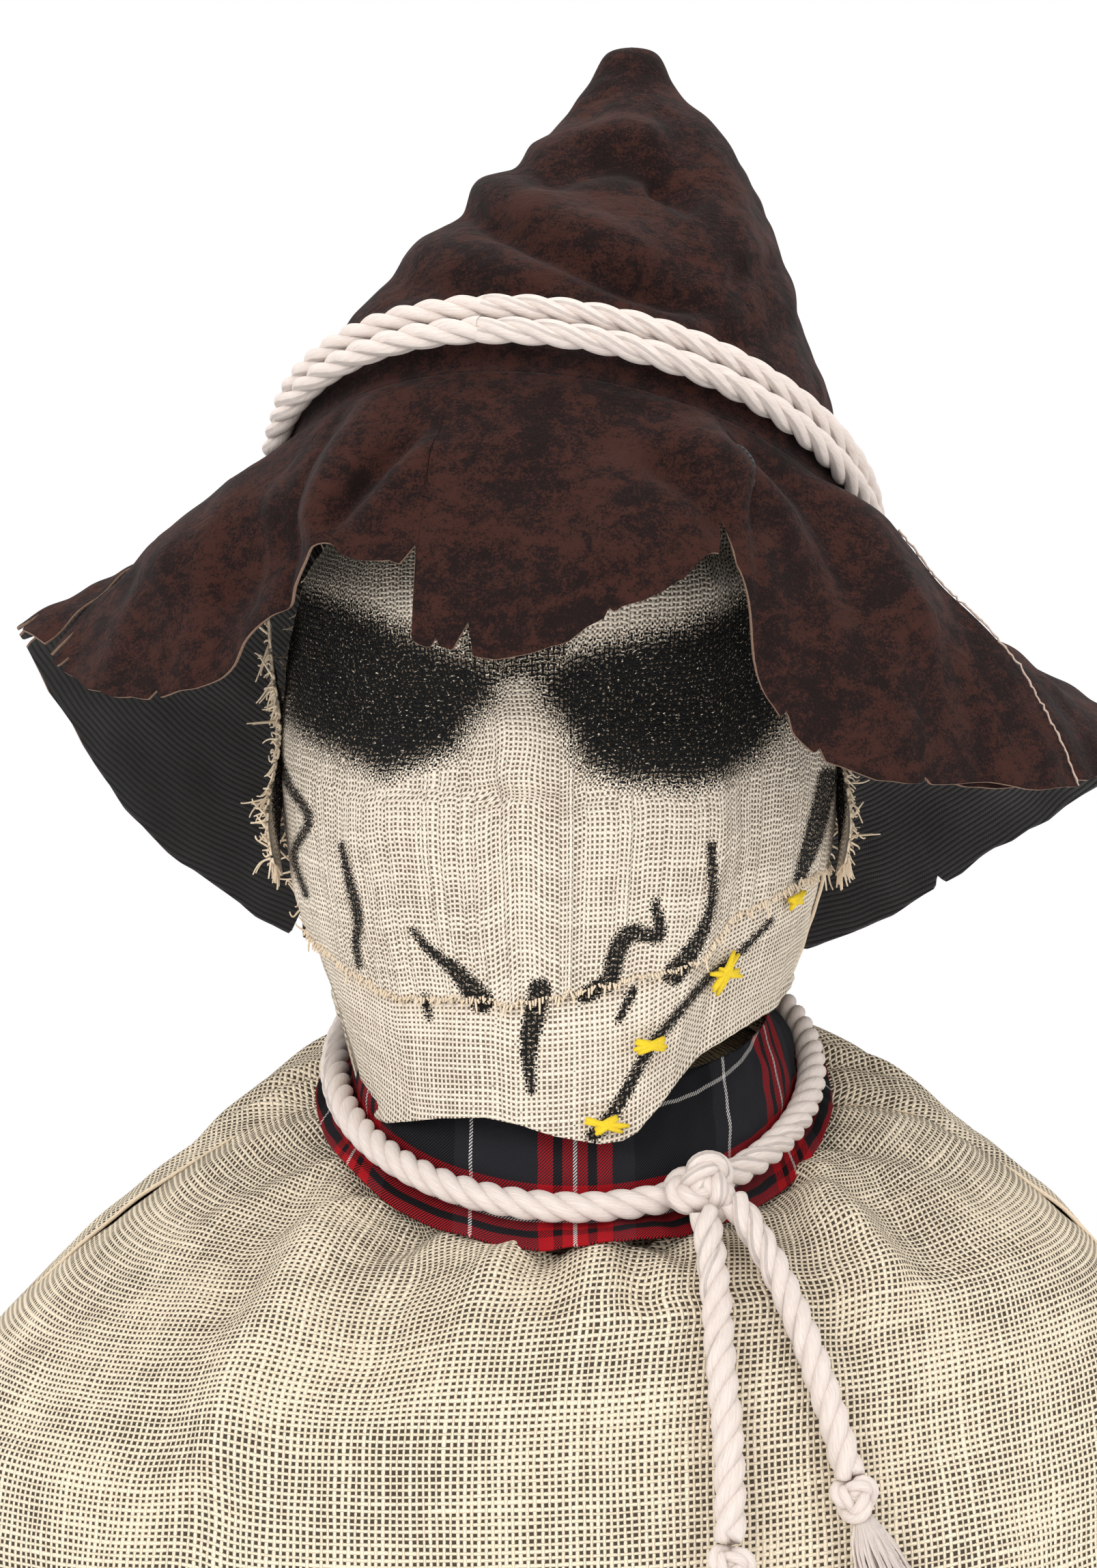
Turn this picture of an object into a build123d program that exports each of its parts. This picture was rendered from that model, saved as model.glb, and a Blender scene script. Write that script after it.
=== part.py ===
from build123d import *
import math
import os
from collections import namedtuple

# A stuffed scarecrow figure on a round stand. Millimetres, +Z up, the face looks along -Y.
# The origin is on the floor, under the middle of the tunic.

# ---------------------------------------------------------------- driving dimensions
PAD_RADIUS = 145.0
PAD_THICKNESS = 4.0
BOARD_RADIUS = 150.0
BOARD_THICKNESS = 20.0
BOARD_ROUNDING = 5.0
FLANGE_RADIUS = 45.0
FLANGE_THICKNESS = 4.0
SOCKET_RADIUS = 21.0
SOCKET_HEIGHT = 66.0
SCREW_RING_RADIUS = 34.0
SCREW_COUNT = 4
SCREW_RADIUS = 2.2
SCREW_HOLE_RADIUS = 2.25
SCREW_LENGTH = 18.0
SCREW_HEAD_RADIUS = 4.6
SCREW_HEAD_HEIGHT = 2.6

POST_RADIUS = 16.0
RUNNING_CLEARANCE = 0.06
POST_TOP = 565.0
CAVITY_CLEARANCE = 0.5

CROSSBAR_LENGTH = 330.0
CROSSBAR_DEPTH = 22.0
CROSSBAR_HEIGHT = 30.0
CROSSBAR_Z = 440.0
SADDLE_DEPTH = 4.0
BOLT_RADIUS = 3.0
BOLT_HOLE_RADIUS = 3.1
BOLT_HEAD_RADIUS = 8.0
BOLT_HEAD_HEIGHT = 4.0
BOLT_TAIL = 8.0
WASHER_RADIUS = 9.0
WASHER_THICKNESS = 1.5
WING_HUB_RADIUS = 6.0
WING_HUB_LENGTH = 5.0
WING_SPAN = 26.0
WING_HEIGHT = 7.0
WING_THICKNESS = 2.0

PEG_RADIUS = 10.0
PEG_BOTTOM = 500.0
PEG_TOP = 670.0
STOP_WASHER_RADIUS = 20.0
STOP_WASHER_THICKNESS = 3.0
BUSH_RADIUS = 14.0
BUSH_GAP = 0.4
BUSH_TOP = 676.0

CLOTH = 3.0          # tunic and hat cloth, with its folds pressed flat
NECK_LIP = 5.0       # how far the tunic's rolled neckline reaches inwards
MASK_CLOTH = 2.2
STUFFING_GAP = 0.6   # between a cloth and the stuffed form inside it
SACK_BOTTOM = 102.0

ROPE_RADIUS = 5.25
KNOT_RADIUS = 14.0
TAIL_KNOT_RADIUS = 9.5
TASSEL_NECK_RADIUS = 6.0
TASSEL_END_RADIUS = 11.0

# A ring is an ellipse seen from above, laid on a sloping plane: x, y and z are its centre, and its
# height rises by rise_x and rise_y for each unit of X and Y.
Ring = namedtuple("Ring", "z x y half_x half_y rise_x rise_y")
RING_POINTS = 12

# The tunic from its neckline down over the shoulders to the hem.
TUNIC_RINGS = (
    Ring(546, 9.5, 0, 88, 97, 0.00, 0.45),
    Ring(544, 9.0, 0, 110, 108, 0.02, 0.43),
    Ring(537, 8.0, 0, 132, 114, 0.04, 0.38),
    Ring(521, 6.0, 0, 158, 120, 0.05, 0.30),
    Ring(495, 3.0, 0, 192, 128, 0.06, 0.20),
    Ring(455, 0.0, 0, 230, 140, 0.05, 0.10),
    Ring(402, 0.0, 0, 258, 150, 0.02, 0.03),
    Ring(335, 0.0, 0, 268, 158, 0.00, 0.00),
    Ring(210, 0.0, 0, 264, 168, 0.00, 0.00),
    Ring(98, 0.0, 0, 268, 180, 0.00, 0.00),
)

# The head cloth, from the crown of the head down to the jaw.
MASK_RINGS = (
    Ring(802, 4, 0, 20, 20, 0, 0),
    Ring(794, 4, 0, 48, 47, 0, 0),
    Ring(778, 4, 0, 71, 70, 0, 0),
    Ring(755, 4, 0, 89, 88, 0, 0),
    Ring(725, 4, -1, 100, 99, 0, 0),
    Ring(690, 4, -2, 104, 103, 0, 0),
    Ring(650, 4, -3, 103, 103, 0, 0),
    Ring(618, 4, -4, 97, 101, 0, 0),
    Ring(592, 4, -4, 88, 99, 0, 0),
    Ring(565, 4, -5, 79, 97, 0, 0),
    Ring(530, 4, -6, 72, 95, 0, 0),
)
HEM = Plane(origin=(0, 0, 588), z_dir=(0, -0.44, 1))
JAW_SEAM = Plane(origin=(0, 0, 600), z_dir=(-0.15, 0, 1))
SIDE_SEAM_Y = 5.0
CORE_BASE = Plane(origin=(0, 0, 598), z_dir=(0, -0.25, 1))
EAR_STRIP = (1.6, 34.0, 96.0)
EAR_STRIP_CENTRE = (4.0, -14.0, 682.0)
EAR_STRIP_REACH = 107.0

# The hat's crown, from its tip down to the seam with the brim.
CROWN_RINGS = (
    Ring(948, 32.0, 15, 9, 9, 0.00, 0.00),
    Ring(936, 32.0, 14, 16, 16, 0.00, 0.00),
    Ring(919, 32.0, 12, 29, 30, 0.00, -0.03),
    Ring(899, 31.0, 10, 44, 45, 0.00, -0.08),
    Ring(880, 24.0, 8, 60, 59, 0.00, -0.14),
    Ring(858, 19.0, 6, 74, 75, -0.02, -0.22),
    Ring(832, 14.0, 5, 87, 88, -0.06, -0.32),
    Ring(806, 12.0, 4, 98, 97, -0.11, -0.42),
    Ring(783, 10.6, 3, 106, 103, -0.15, -0.51),
    Ring(771, 10.6, 2, 110, 107, -0.15, -0.51),
    Ring(752, 10.6, 2, 116, 113, -0.15, -0.51),
)

# The brim's outer edge, by the angle round the hat: 0 at the front, 90 at the wearer's left (+X).
BrimStop = namedtuple("BrimStop", "angle reach z")
BRIM_EDGE = (
    BrimStop(0, 152, 712),
    BrimStop(27, 149, 697),
    BrimStop(50, 163, 667),
    BrimStop(75, 195, 668),
    BrimStop(98, 226, 682),
    BrimStop(120, 202, 642),
    BrimStop(141, 181, 603),
    BrimStop(180, 165, 590),
    BrimStop(222, 187, 608),
    BrimStop(242, 199, 650),
    BrimStop(269, 214, 727),
    BrimStop(290, 187, 700),
    BrimStop(308, 160, 702),
    BrimStop(327, 157, 742),
    BrimStop(345, 156, 716),
)
BRIM_CENTRE_X = 10.0
BRIM_GAP = 1.2
BRIM_SWELL = 8.0
BRIM_FRONT_SPAN = (-84.0, 60.0)
BRIM_BACK_SPAN = (61.0, 275.0)
BRIM_STEP = 9.0
BRIM_ROWS = 5

SWEATBAND_RINGS = (
    Ring(777, 10.6, 2, 103, 99.5, -0.15, -0.51),
    Ring(757, 10.6, 2, 109, 105.5, -0.15, -0.51),
)
SWEATBAND_THICKNESS = 1.5
HAT_STUFFING_BASES = (
    Plane(origin=(0, 0, 812), z_dir=(0, 0, 1)),
    Plane(origin=(0, 0, 784), z_dir=(0.15, 0.51, 1)),
)

# The plaid collar stands inside the neck rope and flares out below it.
COLLAR_RINGS = (
    Ring(580, 9.5, 0, 72, 80, 0, 0.25),
    Ring(566, 9.5, 0, 84.0, 93.5, 0, 0.42),
    Ring(557, 9.5, 0, 84.6, 94.2, 0, 0.45),
    Ring(551.5, 9.5, 0, 98, 107, 0, 0.45),
)
COLLAR_CLOTH = 1.6

# Rope rings are ovals of four arcs on a sloping plane: centre, rises, half widths and end radius.
Oval = namedtuple("Oval", "x y z rise_x rise_y half_long half_wide end_radius")
NECK_ROPE = Oval(9.5, 0, 561.5, 0, 0.45, 109.7, 90.6, 82)
HAT_BAND_LOWER = Oval(10.6, 2, 771.5, -0.15, -0.51, 129.8, 118.2, 101.5)
HAT_BAND_UPPER = Oval(10.6, 2, 783.5, -0.15, -0.51, 127.0, 115.0, 99)
HAT_BAND_KNOT = (10.6, 124.0, 722.0)
HAT_BAND_KNOT_RADIUS = 12.0

NECK_KNOT = (55.0, -97.0, 523.0)
LEFT_TAIL = (
    (55.5, -105, 515),
    (58.5, -121, 494),
    (59.5, -136, 465),
    (62.5, -147, 436),
    (62, -155.5, 409),
)
RIGHT_TAIL = (
    (66, -103, 519),
    (76, -111, 505),
    (87, -124, 481),
    (97, -134, 453),
    (104, -140.5, 428),
)
LEFT_TAIL_KNOT = (62, -157, 400)
RIGHT_TAIL_KNOT = (105.5, -142.5, 421)
LEFT_TASSEL = ((62, -157, 394), (62, -166, 352))
RIGHT_TASSEL = ((108, -143.5, 415), (120, -152, 380))


# ---------------------------------------------------------------- helpers
def write(shape, node):
    export_step(shape, f"parts/{node}.step")


def ring_wire(ring, inset=0.0):
    """The ring as a closed curve, drawn in by inset at its side and lowered by as much."""
    points = []
    for i in range(RING_POINTS):
        turn = 2 * math.pi * i / RING_POINTS
        dx = (ring.half_x - inset) * math.sin(turn)
        dy = (ring.half_y - inset) * math.cos(turn)
        height = ring.z - inset + ring.rise_x * dx + ring.rise_y * dy
        points.append((ring.x + dx, ring.y + dy, height))
    return Wire([Edge.make_spline(points, periodic=True)])


def filled(rings, inset=0.0):
    return Solid.make_loft([ring_wire(ring, inset) for ring in rings], ruled=True)


def cloth_shell(rings, thickness):
    return filled(rings) - filled(rings, thickness)


def above(shape, plane):
    return split(shape, bisect_by=plane, keep=Keep.TOP)


def below(shape, plane):
    return split(shape, bisect_by=plane, keep=Keep.BOTTOM)


def disc(radius, thickness, z, x=0.0, y=0.0):
    return Solid.make_cylinder(radius, thickness, Plane((x, y, z)))


def rod_along_y(radius, y_start, length, z):
    return Solid.make_cylinder(radius, length, Plane((0, y_start, z), z_dir=(0, 1, 0)))


def ball(centre, radius):
    return Solid.make_sphere(radius, Plane(centre))


def oval_plane(oval):
    steepness = math.hypot(oval.rise_x, oval.rise_y)
    uphill = (oval.rise_x / steepness, oval.rise_y / steepness, steepness)
    return Plane((oval.x, oval.y, oval.z), x_dir=uphill, z_dir=(-oval.rise_x, -oval.rise_y, 1))


def oval_path(oval):
    """Four arcs that meet smoothly: two end arcs across the long axis and two flatter side arcs."""
    end_centre = oval.half_long - oval.end_radius
    side_radius = (end_centre**2 + oval.half_wide**2 - oval.end_radius**2) / (
        2 * (oval.half_wide - oval.end_radius)
    )
    side_centre = side_radius - oval.half_wide
    reach = side_radius / (side_radius - oval.end_radius)
    join = (end_centre * reach, side_centre * (reach - 1))
    corners = [
        (join[0], join[1]),
        (-join[0], join[1]),
        (-join[0], -join[1]),
        (join[0], -join[1]),
    ]
    middles = [
        (0, oval.half_wide),
        (-oval.half_long, 0),
        (0, -oval.half_wide),
        (oval.half_long, 0),
    ]
    plane = oval_plane(oval)
    arcs = []
    for i, middle in enumerate(middles):
        start = plane.from_local_coords(corners[i])
        end = plane.from_local_coords(corners[(i + 1) % 4])
        arcs.append(Edge.make_three_point_arc(start, plane.from_local_coords(middle), end))
    return Wire(arcs)


def tube(path, radius=ROPE_RADIUS):
    return sweep(Plane(path @ 0, z_dir=path % 0) * Circle(radius), path)


def tail_path(points):
    """Straight runs joined by arcs, each as large as its two runs allow."""
    corners = [Vector(*point) for point in points]
    radii = []
    for before, corner, after in zip(corners, corners[1:], corners[2:]):
        turn = math.radians((corner - before).get_angle(after - corner))
        shorter = min((corner - before).length, (after - corner).length)
        radii.append(0.45 * shorter / math.tan(turn / 2))
    return FilletPolyline(*corners, radius=radii), radii


def round_the_hat(angle):
    """Reach and height of the brim's edge at this angle, smoothly through the stops."""
    angle = angle % 360
    count = len(BRIM_EDGE)
    last = max(i for i in range(count) if BRIM_EDGE[i].angle <= angle)
    stops = []
    for i in (last - 1, last, last + 1, last + 2):
        stop = BRIM_EDGE[i % count]
        stops.append((stop.angle + 360 * (i // count), stop.reach, stop.z))
    share = (angle - stops[1][0]) / (stops[2][0] - stops[1][0])
    values = []
    for k in (1, 2):
        slope_in = (stops[2][k] - stops[0][k]) / (stops[2][0] - stops[0][0])
        slope_out = (stops[3][k] - stops[1][k]) / (stops[3][0] - stops[1][0])
        width = stops[2][0] - stops[1][0]
        values.append(
            (2 * share**3 - 3 * share**2 + 1) * stops[1][k]
            + (share**3 - 2 * share**2 + share) * width * slope_in
            + (3 * share**2 - 2 * share**3) * stops[2][k]
            + (share**3 - share**2) * width * slope_out
        )
    return values


def brim_point(angle, share):
    """A point on the brim: share runs from 0 at the crown's seam to 1 at the edge."""
    base = CROWN_RINGS[-1]
    turn = math.radians(angle)
    out_x = math.sin(turn)
    out_y = -math.cos(turn)
    dx = (base.half_x + BRIM_GAP) * out_x
    dy = (base.half_y + BRIM_GAP) * out_y
    seam = Vector(base.x + dx, base.y + dy, base.z + base.rise_x * dx + base.rise_y * dy)
    reach, height = round_the_hat(angle)
    edge = Vector(BRIM_CENTRE_X + reach * out_x, reach * out_y, height)
    swell = BRIM_SWELL * math.sin(math.pi * share)
    return seam + (edge - seam) * share + Vector(out_x, out_y, 0.5) * swell


def brim_panel(span):
    columns = round((span[1] - span[0]) / BRIM_STEP) + 1
    grid = []
    for i in range(columns):
        angle = span[0] + (span[1] - span[0]) * i / (columns - 1)
        grid.append([brim_point(angle, j / (BRIM_ROWS - 1)) for j in range(BRIM_ROWS)])
    surface = Face.make_surface_from_array_of_points(grid)
    return Solid.thicken(surface, CLOTH, normal_override=(0, 0, -1))


# ---------------------------------------------------------------- the stand
def make_stand():
    board_bottom = PAD_THICKNESS
    plate_bottom = board_bottom + BOARD_THICKNESS
    plate_top = plate_bottom + FLANGE_THICKNESS
    write(disc(PAD_RADIUS, PAD_THICKNESS, 0), "rubber_pad")

    board = disc(BOARD_RADIUS, BOARD_THICKNESS, board_bottom)
    board = fillet(board.edges().group_by(Axis.Z)[-1], BOARD_ROUNDING)
    socket = disc(SOCKET_RADIUS, SOCKET_HEIGHT, plate_top)
    bore = disc(POST_RADIUS + RUNNING_CLEARANCE, SOCKET_HEIGHT, plate_top)
    flange = disc(FLANGE_RADIUS, FLANGE_THICKNESS, plate_bottom) + socket - bore
    screws = []
    for place in PolarLocations(SCREW_RING_RADIUS, SCREW_COUNT):
        x, y, _ = place.position
        hole = disc(SCREW_HOLE_RADIUS, SCREW_LENGTH, plate_top - SCREW_LENGTH, x, y)
        board -= hole
        flange -= hole
        shank = disc(SCREW_RADIUS, SCREW_LENGTH - 1, plate_top - SCREW_LENGTH + 1, x, y)
        screws.append(shank + disc(SCREW_HEAD_RADIUS, SCREW_HEAD_HEIGHT, plate_top, x, y))
    write(board, "base_board")
    write(flange, "post_flange")
    write(Compound(screws), "flange_screws")
    return plate_top


# ---------------------------------------------------------------- the frame inside
def crossbar_bar(clearance=0.0):
    grown = 2 * clearance
    bar = Box(CROSSBAR_LENGTH + grown, CROSSBAR_DEPTH + grown, CROSSBAR_HEIGHT + grown)
    middle_y = POST_RADIUS - SADDLE_DEPTH + CROSSBAR_DEPTH / 2
    return bar.moved(Location((0, middle_y, CROSSBAR_Z + CROSSBAR_HEIGHT / 2)))


def make_frame(socket_floor):
    bolt_z = CROSSBAR_Z + CROSSBAR_HEIGHT / 2
    bar_back = POST_RADIUS - SADDLE_DEPTH + CROSSBAR_DEPTH
    nut_start = bar_back + WASHER_THICKNESS
    bolt_end = nut_start + WING_HUB_LENGTH + BOLT_TAIL
    bolt_hole = rod_along_y(BOLT_HOLE_RADIUS, -POST_RADIUS - 1, bolt_end + POST_RADIUS + 2, bolt_z)
    peg_hole = disc(PEG_RADIUS + RUNNING_CLEARANCE, POST_TOP - PEG_BOTTOM, PEG_BOTTOM)

    post = disc(POST_RADIUS, POST_TOP - socket_floor, socket_floor)
    write(post - bolt_hole - peg_hole, "post")
    saddle = disc(POST_RADIUS + RUNNING_CLEARANCE, CROSSBAR_HEIGHT, CROSSBAR_Z)
    write(crossbar_bar() - saddle - bolt_hole, "crossbar")

    head = rod_along_y(BOLT_HEAD_RADIUS, -POST_RADIUS - BOLT_HEAD_HEIGHT, BOLT_HEAD_HEIGHT, bolt_z)
    shank = rod_along_y(BOLT_RADIUS, -POST_RADIUS, bolt_end + POST_RADIUS, bolt_z)
    write(head + shank, "crossbar_bolt")
    washer = rod_along_y(WASHER_RADIUS, bar_back, WASHER_THICKNESS, bolt_z)
    write(washer - bolt_hole, "crossbar_washer")
    hub = rod_along_y(WING_HUB_RADIUS, nut_start, WING_HUB_LENGTH, bolt_z)
    wings = Box(WING_SPAN, WING_THICKNESS, WING_HEIGHT)
    wings = wings.moved(Location((0, nut_start + WING_HUB_LENGTH / 2, bolt_z)))
    write(hub + wings - bolt_hole, "crossbar_wing_nut")

    write(disc(PEG_RADIUS, PEG_TOP - PEG_BOTTOM, PEG_BOTTOM), "neck_peg")
    peg_way = disc(PEG_RADIUS + RUNNING_CLEARANCE, PEG_TOP, 0)
    stop = disc(STOP_WASHER_RADIUS, STOP_WASHER_THICKNESS, POST_TOP)
    write(stop - peg_way, "head_stop_washer")

    post_cavity = disc(POST_RADIUS + CAVITY_CLEARANCE, POST_TOP + 10, 0)
    nut_cavity = rod_along_y(
        WING_SPAN / 2 + CAVITY_CLEARANCE, -POST_RADIUS - 5, bolt_end + POST_RADIUS + 6, bolt_z
    )
    return [post_cavity, crossbar_bar(CAVITY_CLEARANCE), nut_cavity]


# ---------------------------------------------------------------- the body
def make_body(cavities):
    sack = filled(TUNIC_RINGS, CLOTH + STUFFING_GAP)
    sack = above(sack, Plane((0, 0, SACK_BOTTOM)))
    for cavity in cavities:
        sack -= cavity
    write(sack, "body_sack")

    neckline = TUNIC_RINGS[0]
    opening = Ellipse(neckline.half_x - NECK_LIP, neckline.half_y - NECK_LIP)
    opening = extrude(Plane((neckline.x, neckline.y, neckline.z - 90)) * opening, 180)
    tunic = cloth_shell(TUNIC_RINGS, CLOTH) - opening
    write(below(tunic, Plane.XZ.offset(0)), "tunic_back")
    write(above(tunic, Plane.XZ.offset(0)), "tunic_front")

    collar_body = filled(COLLAR_RINGS)
    top = COLLAR_RINGS[0]
    bottom = COLLAR_RINGS[-1]
    inner = [ring._replace(half_x=ring.half_x - COLLAR_CLOTH, half_y=ring.half_y - COLLAR_CLOTH)
             for ring in COLLAR_RINGS]
    inner[0] = inner[0]._replace(z=top.z + 1)
    inner[-1] = inner[-1]._replace(z=bottom.z - 1)
    write(collar_body - filled(inner), "plaid_collar")


def make_ropes():
    write(tube(oval_path(NECK_ROPE)), "neck_rope")
    write(ball(NECK_KNOT, KNOT_RADIUS), "neck_knot")
    tails = (
        ("left", LEFT_TAIL, LEFT_TAIL_KNOT, LEFT_TASSEL),
        ("right", RIGHT_TAIL, RIGHT_TAIL_KNOT, RIGHT_TASSEL),
    )
    for side, route, knot, tassel in tails:
        path, radii = tail_path(route)
        rope = tube(path)
        section = math.pi * ROPE_RADIUS**2
        print(side, "tail radii", [round(radius) for radius in radii], "length", round(path.length),
              "volume over section times length", round(rope.volume / section / path.length, 4))
        write(rope, f"rope_tail_{side}")
        write(ball(knot, TAIL_KNOT_RADIUS), f"tail_knot_{side}")
        start = Vector(*tassel[0])
        run = Vector(*tassel[1]) - start
        brush = Solid.make_cone(
            TASSEL_NECK_RADIUS, TASSEL_END_RADIUS, run.length, Plane(start, z_dir=run)
        )
        write(brush, f"tassel_{side}")


# ---------------------------------------------------------------- the head
def make_head():
    bush_bottom = POST_TOP + STOP_WASHER_THICKNESS + BUSH_GAP
    bush = disc(BUSH_RADIUS, BUSH_TOP - bush_bottom, bush_bottom)
    bush -= disc(PEG_RADIUS + RUNNING_CLEARANCE, PEG_TOP + 2 - bush_bottom, bush_bottom)
    write(bush, "head_bush")

    core = above(filled(MASK_RINGS, MASK_CLOTH + STUFFING_GAP), CORE_BASE)
    core -= disc(BUSH_RADIUS + RUNNING_CLEARANCE, BUSH_TOP - bush_bottom, bush_bottom)
    write(core, "head_core")

    cloth = above(cloth_shell(MASK_RINGS, MASK_CLOTH), HEM)
    side_seam = Plane.XZ.offset(-SIDE_SEAM_Y)
    front = above(cloth, side_seam)
    write(below(cloth, side_seam), "mask_back")
    write(above(front, JAW_SEAM), "mask_face")
    write(below(front, JAW_SEAM), "mask_jaw")

    x, y, z = EAR_STRIP_CENTRE
    for side, name in ((-1, "ear_strip_left"), (1, "ear_strip_right")):
        strip = Box(*EAR_STRIP).moved(Location((x + side * EAR_STRIP_REACH, y, z)))
        write(strip, name)


# ---------------------------------------------------------------- the hat
def make_hat():
    write(cloth_shell(CROWN_RINGS, CLOTH), "hat_crown")
    stuffing = filled(CROWN_RINGS, CLOTH + STUFFING_GAP)
    for base in HAT_STUFFING_BASES:
        stuffing = above(stuffing, base)
    write(stuffing, "hat_stuffing")

    inner = [ring._replace(half_x=ring.half_x - SWEATBAND_THICKNESS,
                           half_y=ring.half_y - SWEATBAND_THICKNESS) for ring in SWEATBAND_RINGS]
    inner[0] = inner[0]._replace(z=inner[0].z + 1)
    inner[1] = inner[1]._replace(z=inner[1].z - 1)
    write(filled(SWEATBAND_RINGS) - filled(inner), "hat_sweatband")

    write(brim_panel(BRIM_FRONT_SPAN), "hat_brim_front")
    write(brim_panel(BRIM_BACK_SPAN), "hat_brim_back")
    write(tube(oval_path(HAT_BAND_LOWER)), "hat_band_lower")
    write(tube(oval_path(HAT_BAND_UPPER)), "hat_band_upper")
    write(ball(HAT_BAND_KNOT, HAT_BAND_KNOT_RADIUS), "hat_band_knot")


os.makedirs("parts", exist_ok=True)
floor_of_socket = make_stand()
make_body(make_frame(floor_of_socket))
make_ropes()
make_head()
make_hat()
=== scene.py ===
import math
from collections import namedtuple

import bpy
import numpy as np
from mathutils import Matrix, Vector


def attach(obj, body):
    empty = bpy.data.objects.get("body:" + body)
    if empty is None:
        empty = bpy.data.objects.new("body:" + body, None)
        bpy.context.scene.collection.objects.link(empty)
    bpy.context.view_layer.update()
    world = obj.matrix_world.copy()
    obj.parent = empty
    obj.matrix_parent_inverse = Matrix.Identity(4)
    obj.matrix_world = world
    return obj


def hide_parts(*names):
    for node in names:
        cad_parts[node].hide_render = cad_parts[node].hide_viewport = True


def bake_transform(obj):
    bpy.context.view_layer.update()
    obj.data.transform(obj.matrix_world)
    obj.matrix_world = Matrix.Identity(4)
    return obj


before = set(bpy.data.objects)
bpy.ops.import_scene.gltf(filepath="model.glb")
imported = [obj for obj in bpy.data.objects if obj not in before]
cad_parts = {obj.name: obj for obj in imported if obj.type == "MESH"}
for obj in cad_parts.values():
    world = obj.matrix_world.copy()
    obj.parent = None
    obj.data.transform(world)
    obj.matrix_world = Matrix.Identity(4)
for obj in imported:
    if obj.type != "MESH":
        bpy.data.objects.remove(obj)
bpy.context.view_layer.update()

# A stuffed scarecrow figure. Lengths here are millimetres until MM turns them into Blender's metres.
# +Z is up and the face looks along -Y.
MM = 0.001

# ---------------------------------------------------------------- camera
EYE_HEIGHT = 667.0
EYE_DISTANCE = 1500.0
LENS = 90.45


def make_camera():
    data = bpy.data.cameras.new("camera")
    data.lens = LENS
    data.sensor_width = 36.0
    data.clip_start = 0.01
    camera = bpy.data.objects.new("camera", data)
    camera.location = (0, -EYE_DISTANCE * MM, EYE_HEIGHT * MM)
    camera.rotation_euler = (math.pi / 2, 0, 0)
    bpy.context.scene.collection.objects.link(camera)
    bpy.context.scene.camera = camera


make_camera()


# ---------------------------------------------------------------- material graphs
class Graph:
    """Short names for making a material's nodes."""

    def __init__(self, name, roughness=0.8, **constants):
        self.material = bpy.data.materials.new(name)
        self.material.use_nodes = True
        self.tree = self.material.node_tree
        self.shader = self.tree.nodes["Principled BSDF"]
        self.shader.inputs["Roughness"].default_value = roughness
        for socket, value in constants.items():
            self.shader.inputs[socket.replace("_", " ")].default_value = value

    def put(self, socket, value):
        if isinstance(value, bpy.types.NodeSocket):
            self.tree.links.new(value, socket)
        elif isinstance(value, tuple) and len(value) == 3 and socket.type == "RGBA":
            socket.default_value = (*value, 1)
        else:
            socket.default_value = value

    def node(self, kind, *values, out=0, **settings):
        made = self.tree.nodes.new("ShaderNode" + kind)
        for name, value in settings.items():
            setattr(made, name, value)
        for i, value in enumerate(values):
            if value is not None:
                self.put(made.inputs[i], value)
        return made.outputs[out]

    def math(self, operation, a, b=0.0):
        return self.node("Math", a, b, operation=operation)

    def add(self, a, b):
        return self.math("ADD", a, b)

    def sub(self, a, b):
        return self.math("SUBTRACT", a, b)

    def mul(self, a, b):
        return self.math("MULTIPLY", a, b)

    def step(self, value, low, high):
        """0 below low, 1 above high, smooth between."""
        made = self.tree.nodes.new("ShaderNodeMapRange")
        made.interpolation_type = "SMOOTHSTEP"
        for name, given in (("Value", value), ("From Min", low), ("From Max", high)):
            self.put(made.inputs[name], given)
        return made.outputs[0]

    def mix(self, share, a, b):
        made = self.tree.nodes.new("ShaderNodeMix")
        made.data_type = "RGBA"
        self.put(made.inputs[0], share)
        self.put(made.inputs[6], a)
        self.put(made.inputs[7], b)
        return made.outputs[2]

    def place(self):
        return self.node("TexCoord", out=3)

    def scaled(self, vector, x, y, z):
        return self.node("VectorMath", vector, (x, y, z), operation="MULTIPLY")

    def noise(self, vector, scale, detail=3.0, roughness=0.55, distortion=0.0):
        made = self.tree.nodes.new("ShaderNodeTexNoise")
        self.put(made.inputs["Vector"], vector)
        made.inputs["Scale"].default_value = scale
        made.inputs["Detail"].default_value = detail
        made.inputs["Roughness"].default_value = roughness
        made.inputs["Distortion"].default_value = distortion
        return made.outputs[0]

    def random(self, value):
        return self.node("TexWhiteNoise", None, value, noise_dimensions="1D")

    def join(self, x, y):
        return self.node("CombineXYZ", x, y)

    def cloth_uv(self):
        """The cloth's own coordinates in metres, across and along."""
        uv = self.node("UVMap", uv_map="Cloth")
        split = self.tree.nodes.new("ShaderNodeSeparateXYZ")
        self.put(split.inputs[0], uv)
        return split.outputs[0], split.outputs[1]

    def bump(self, height, distance):
        made = self.tree.nodes.new("ShaderNodeBump")
        made.inputs["Distance"].default_value = distance
        self.put(made.inputs["Height"], height)
        return made.outputs[0]

    def finish(self, colour, normal=None, roughness=None):
        self.put(self.shader.inputs["Base Color"], colour)
        if normal is not None:
            self.put(self.shader.inputs["Normal"], normal)
        if roughness is not None:
            self.put(self.shader.inputs["Roughness"], roughness)
        return self.material


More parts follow.
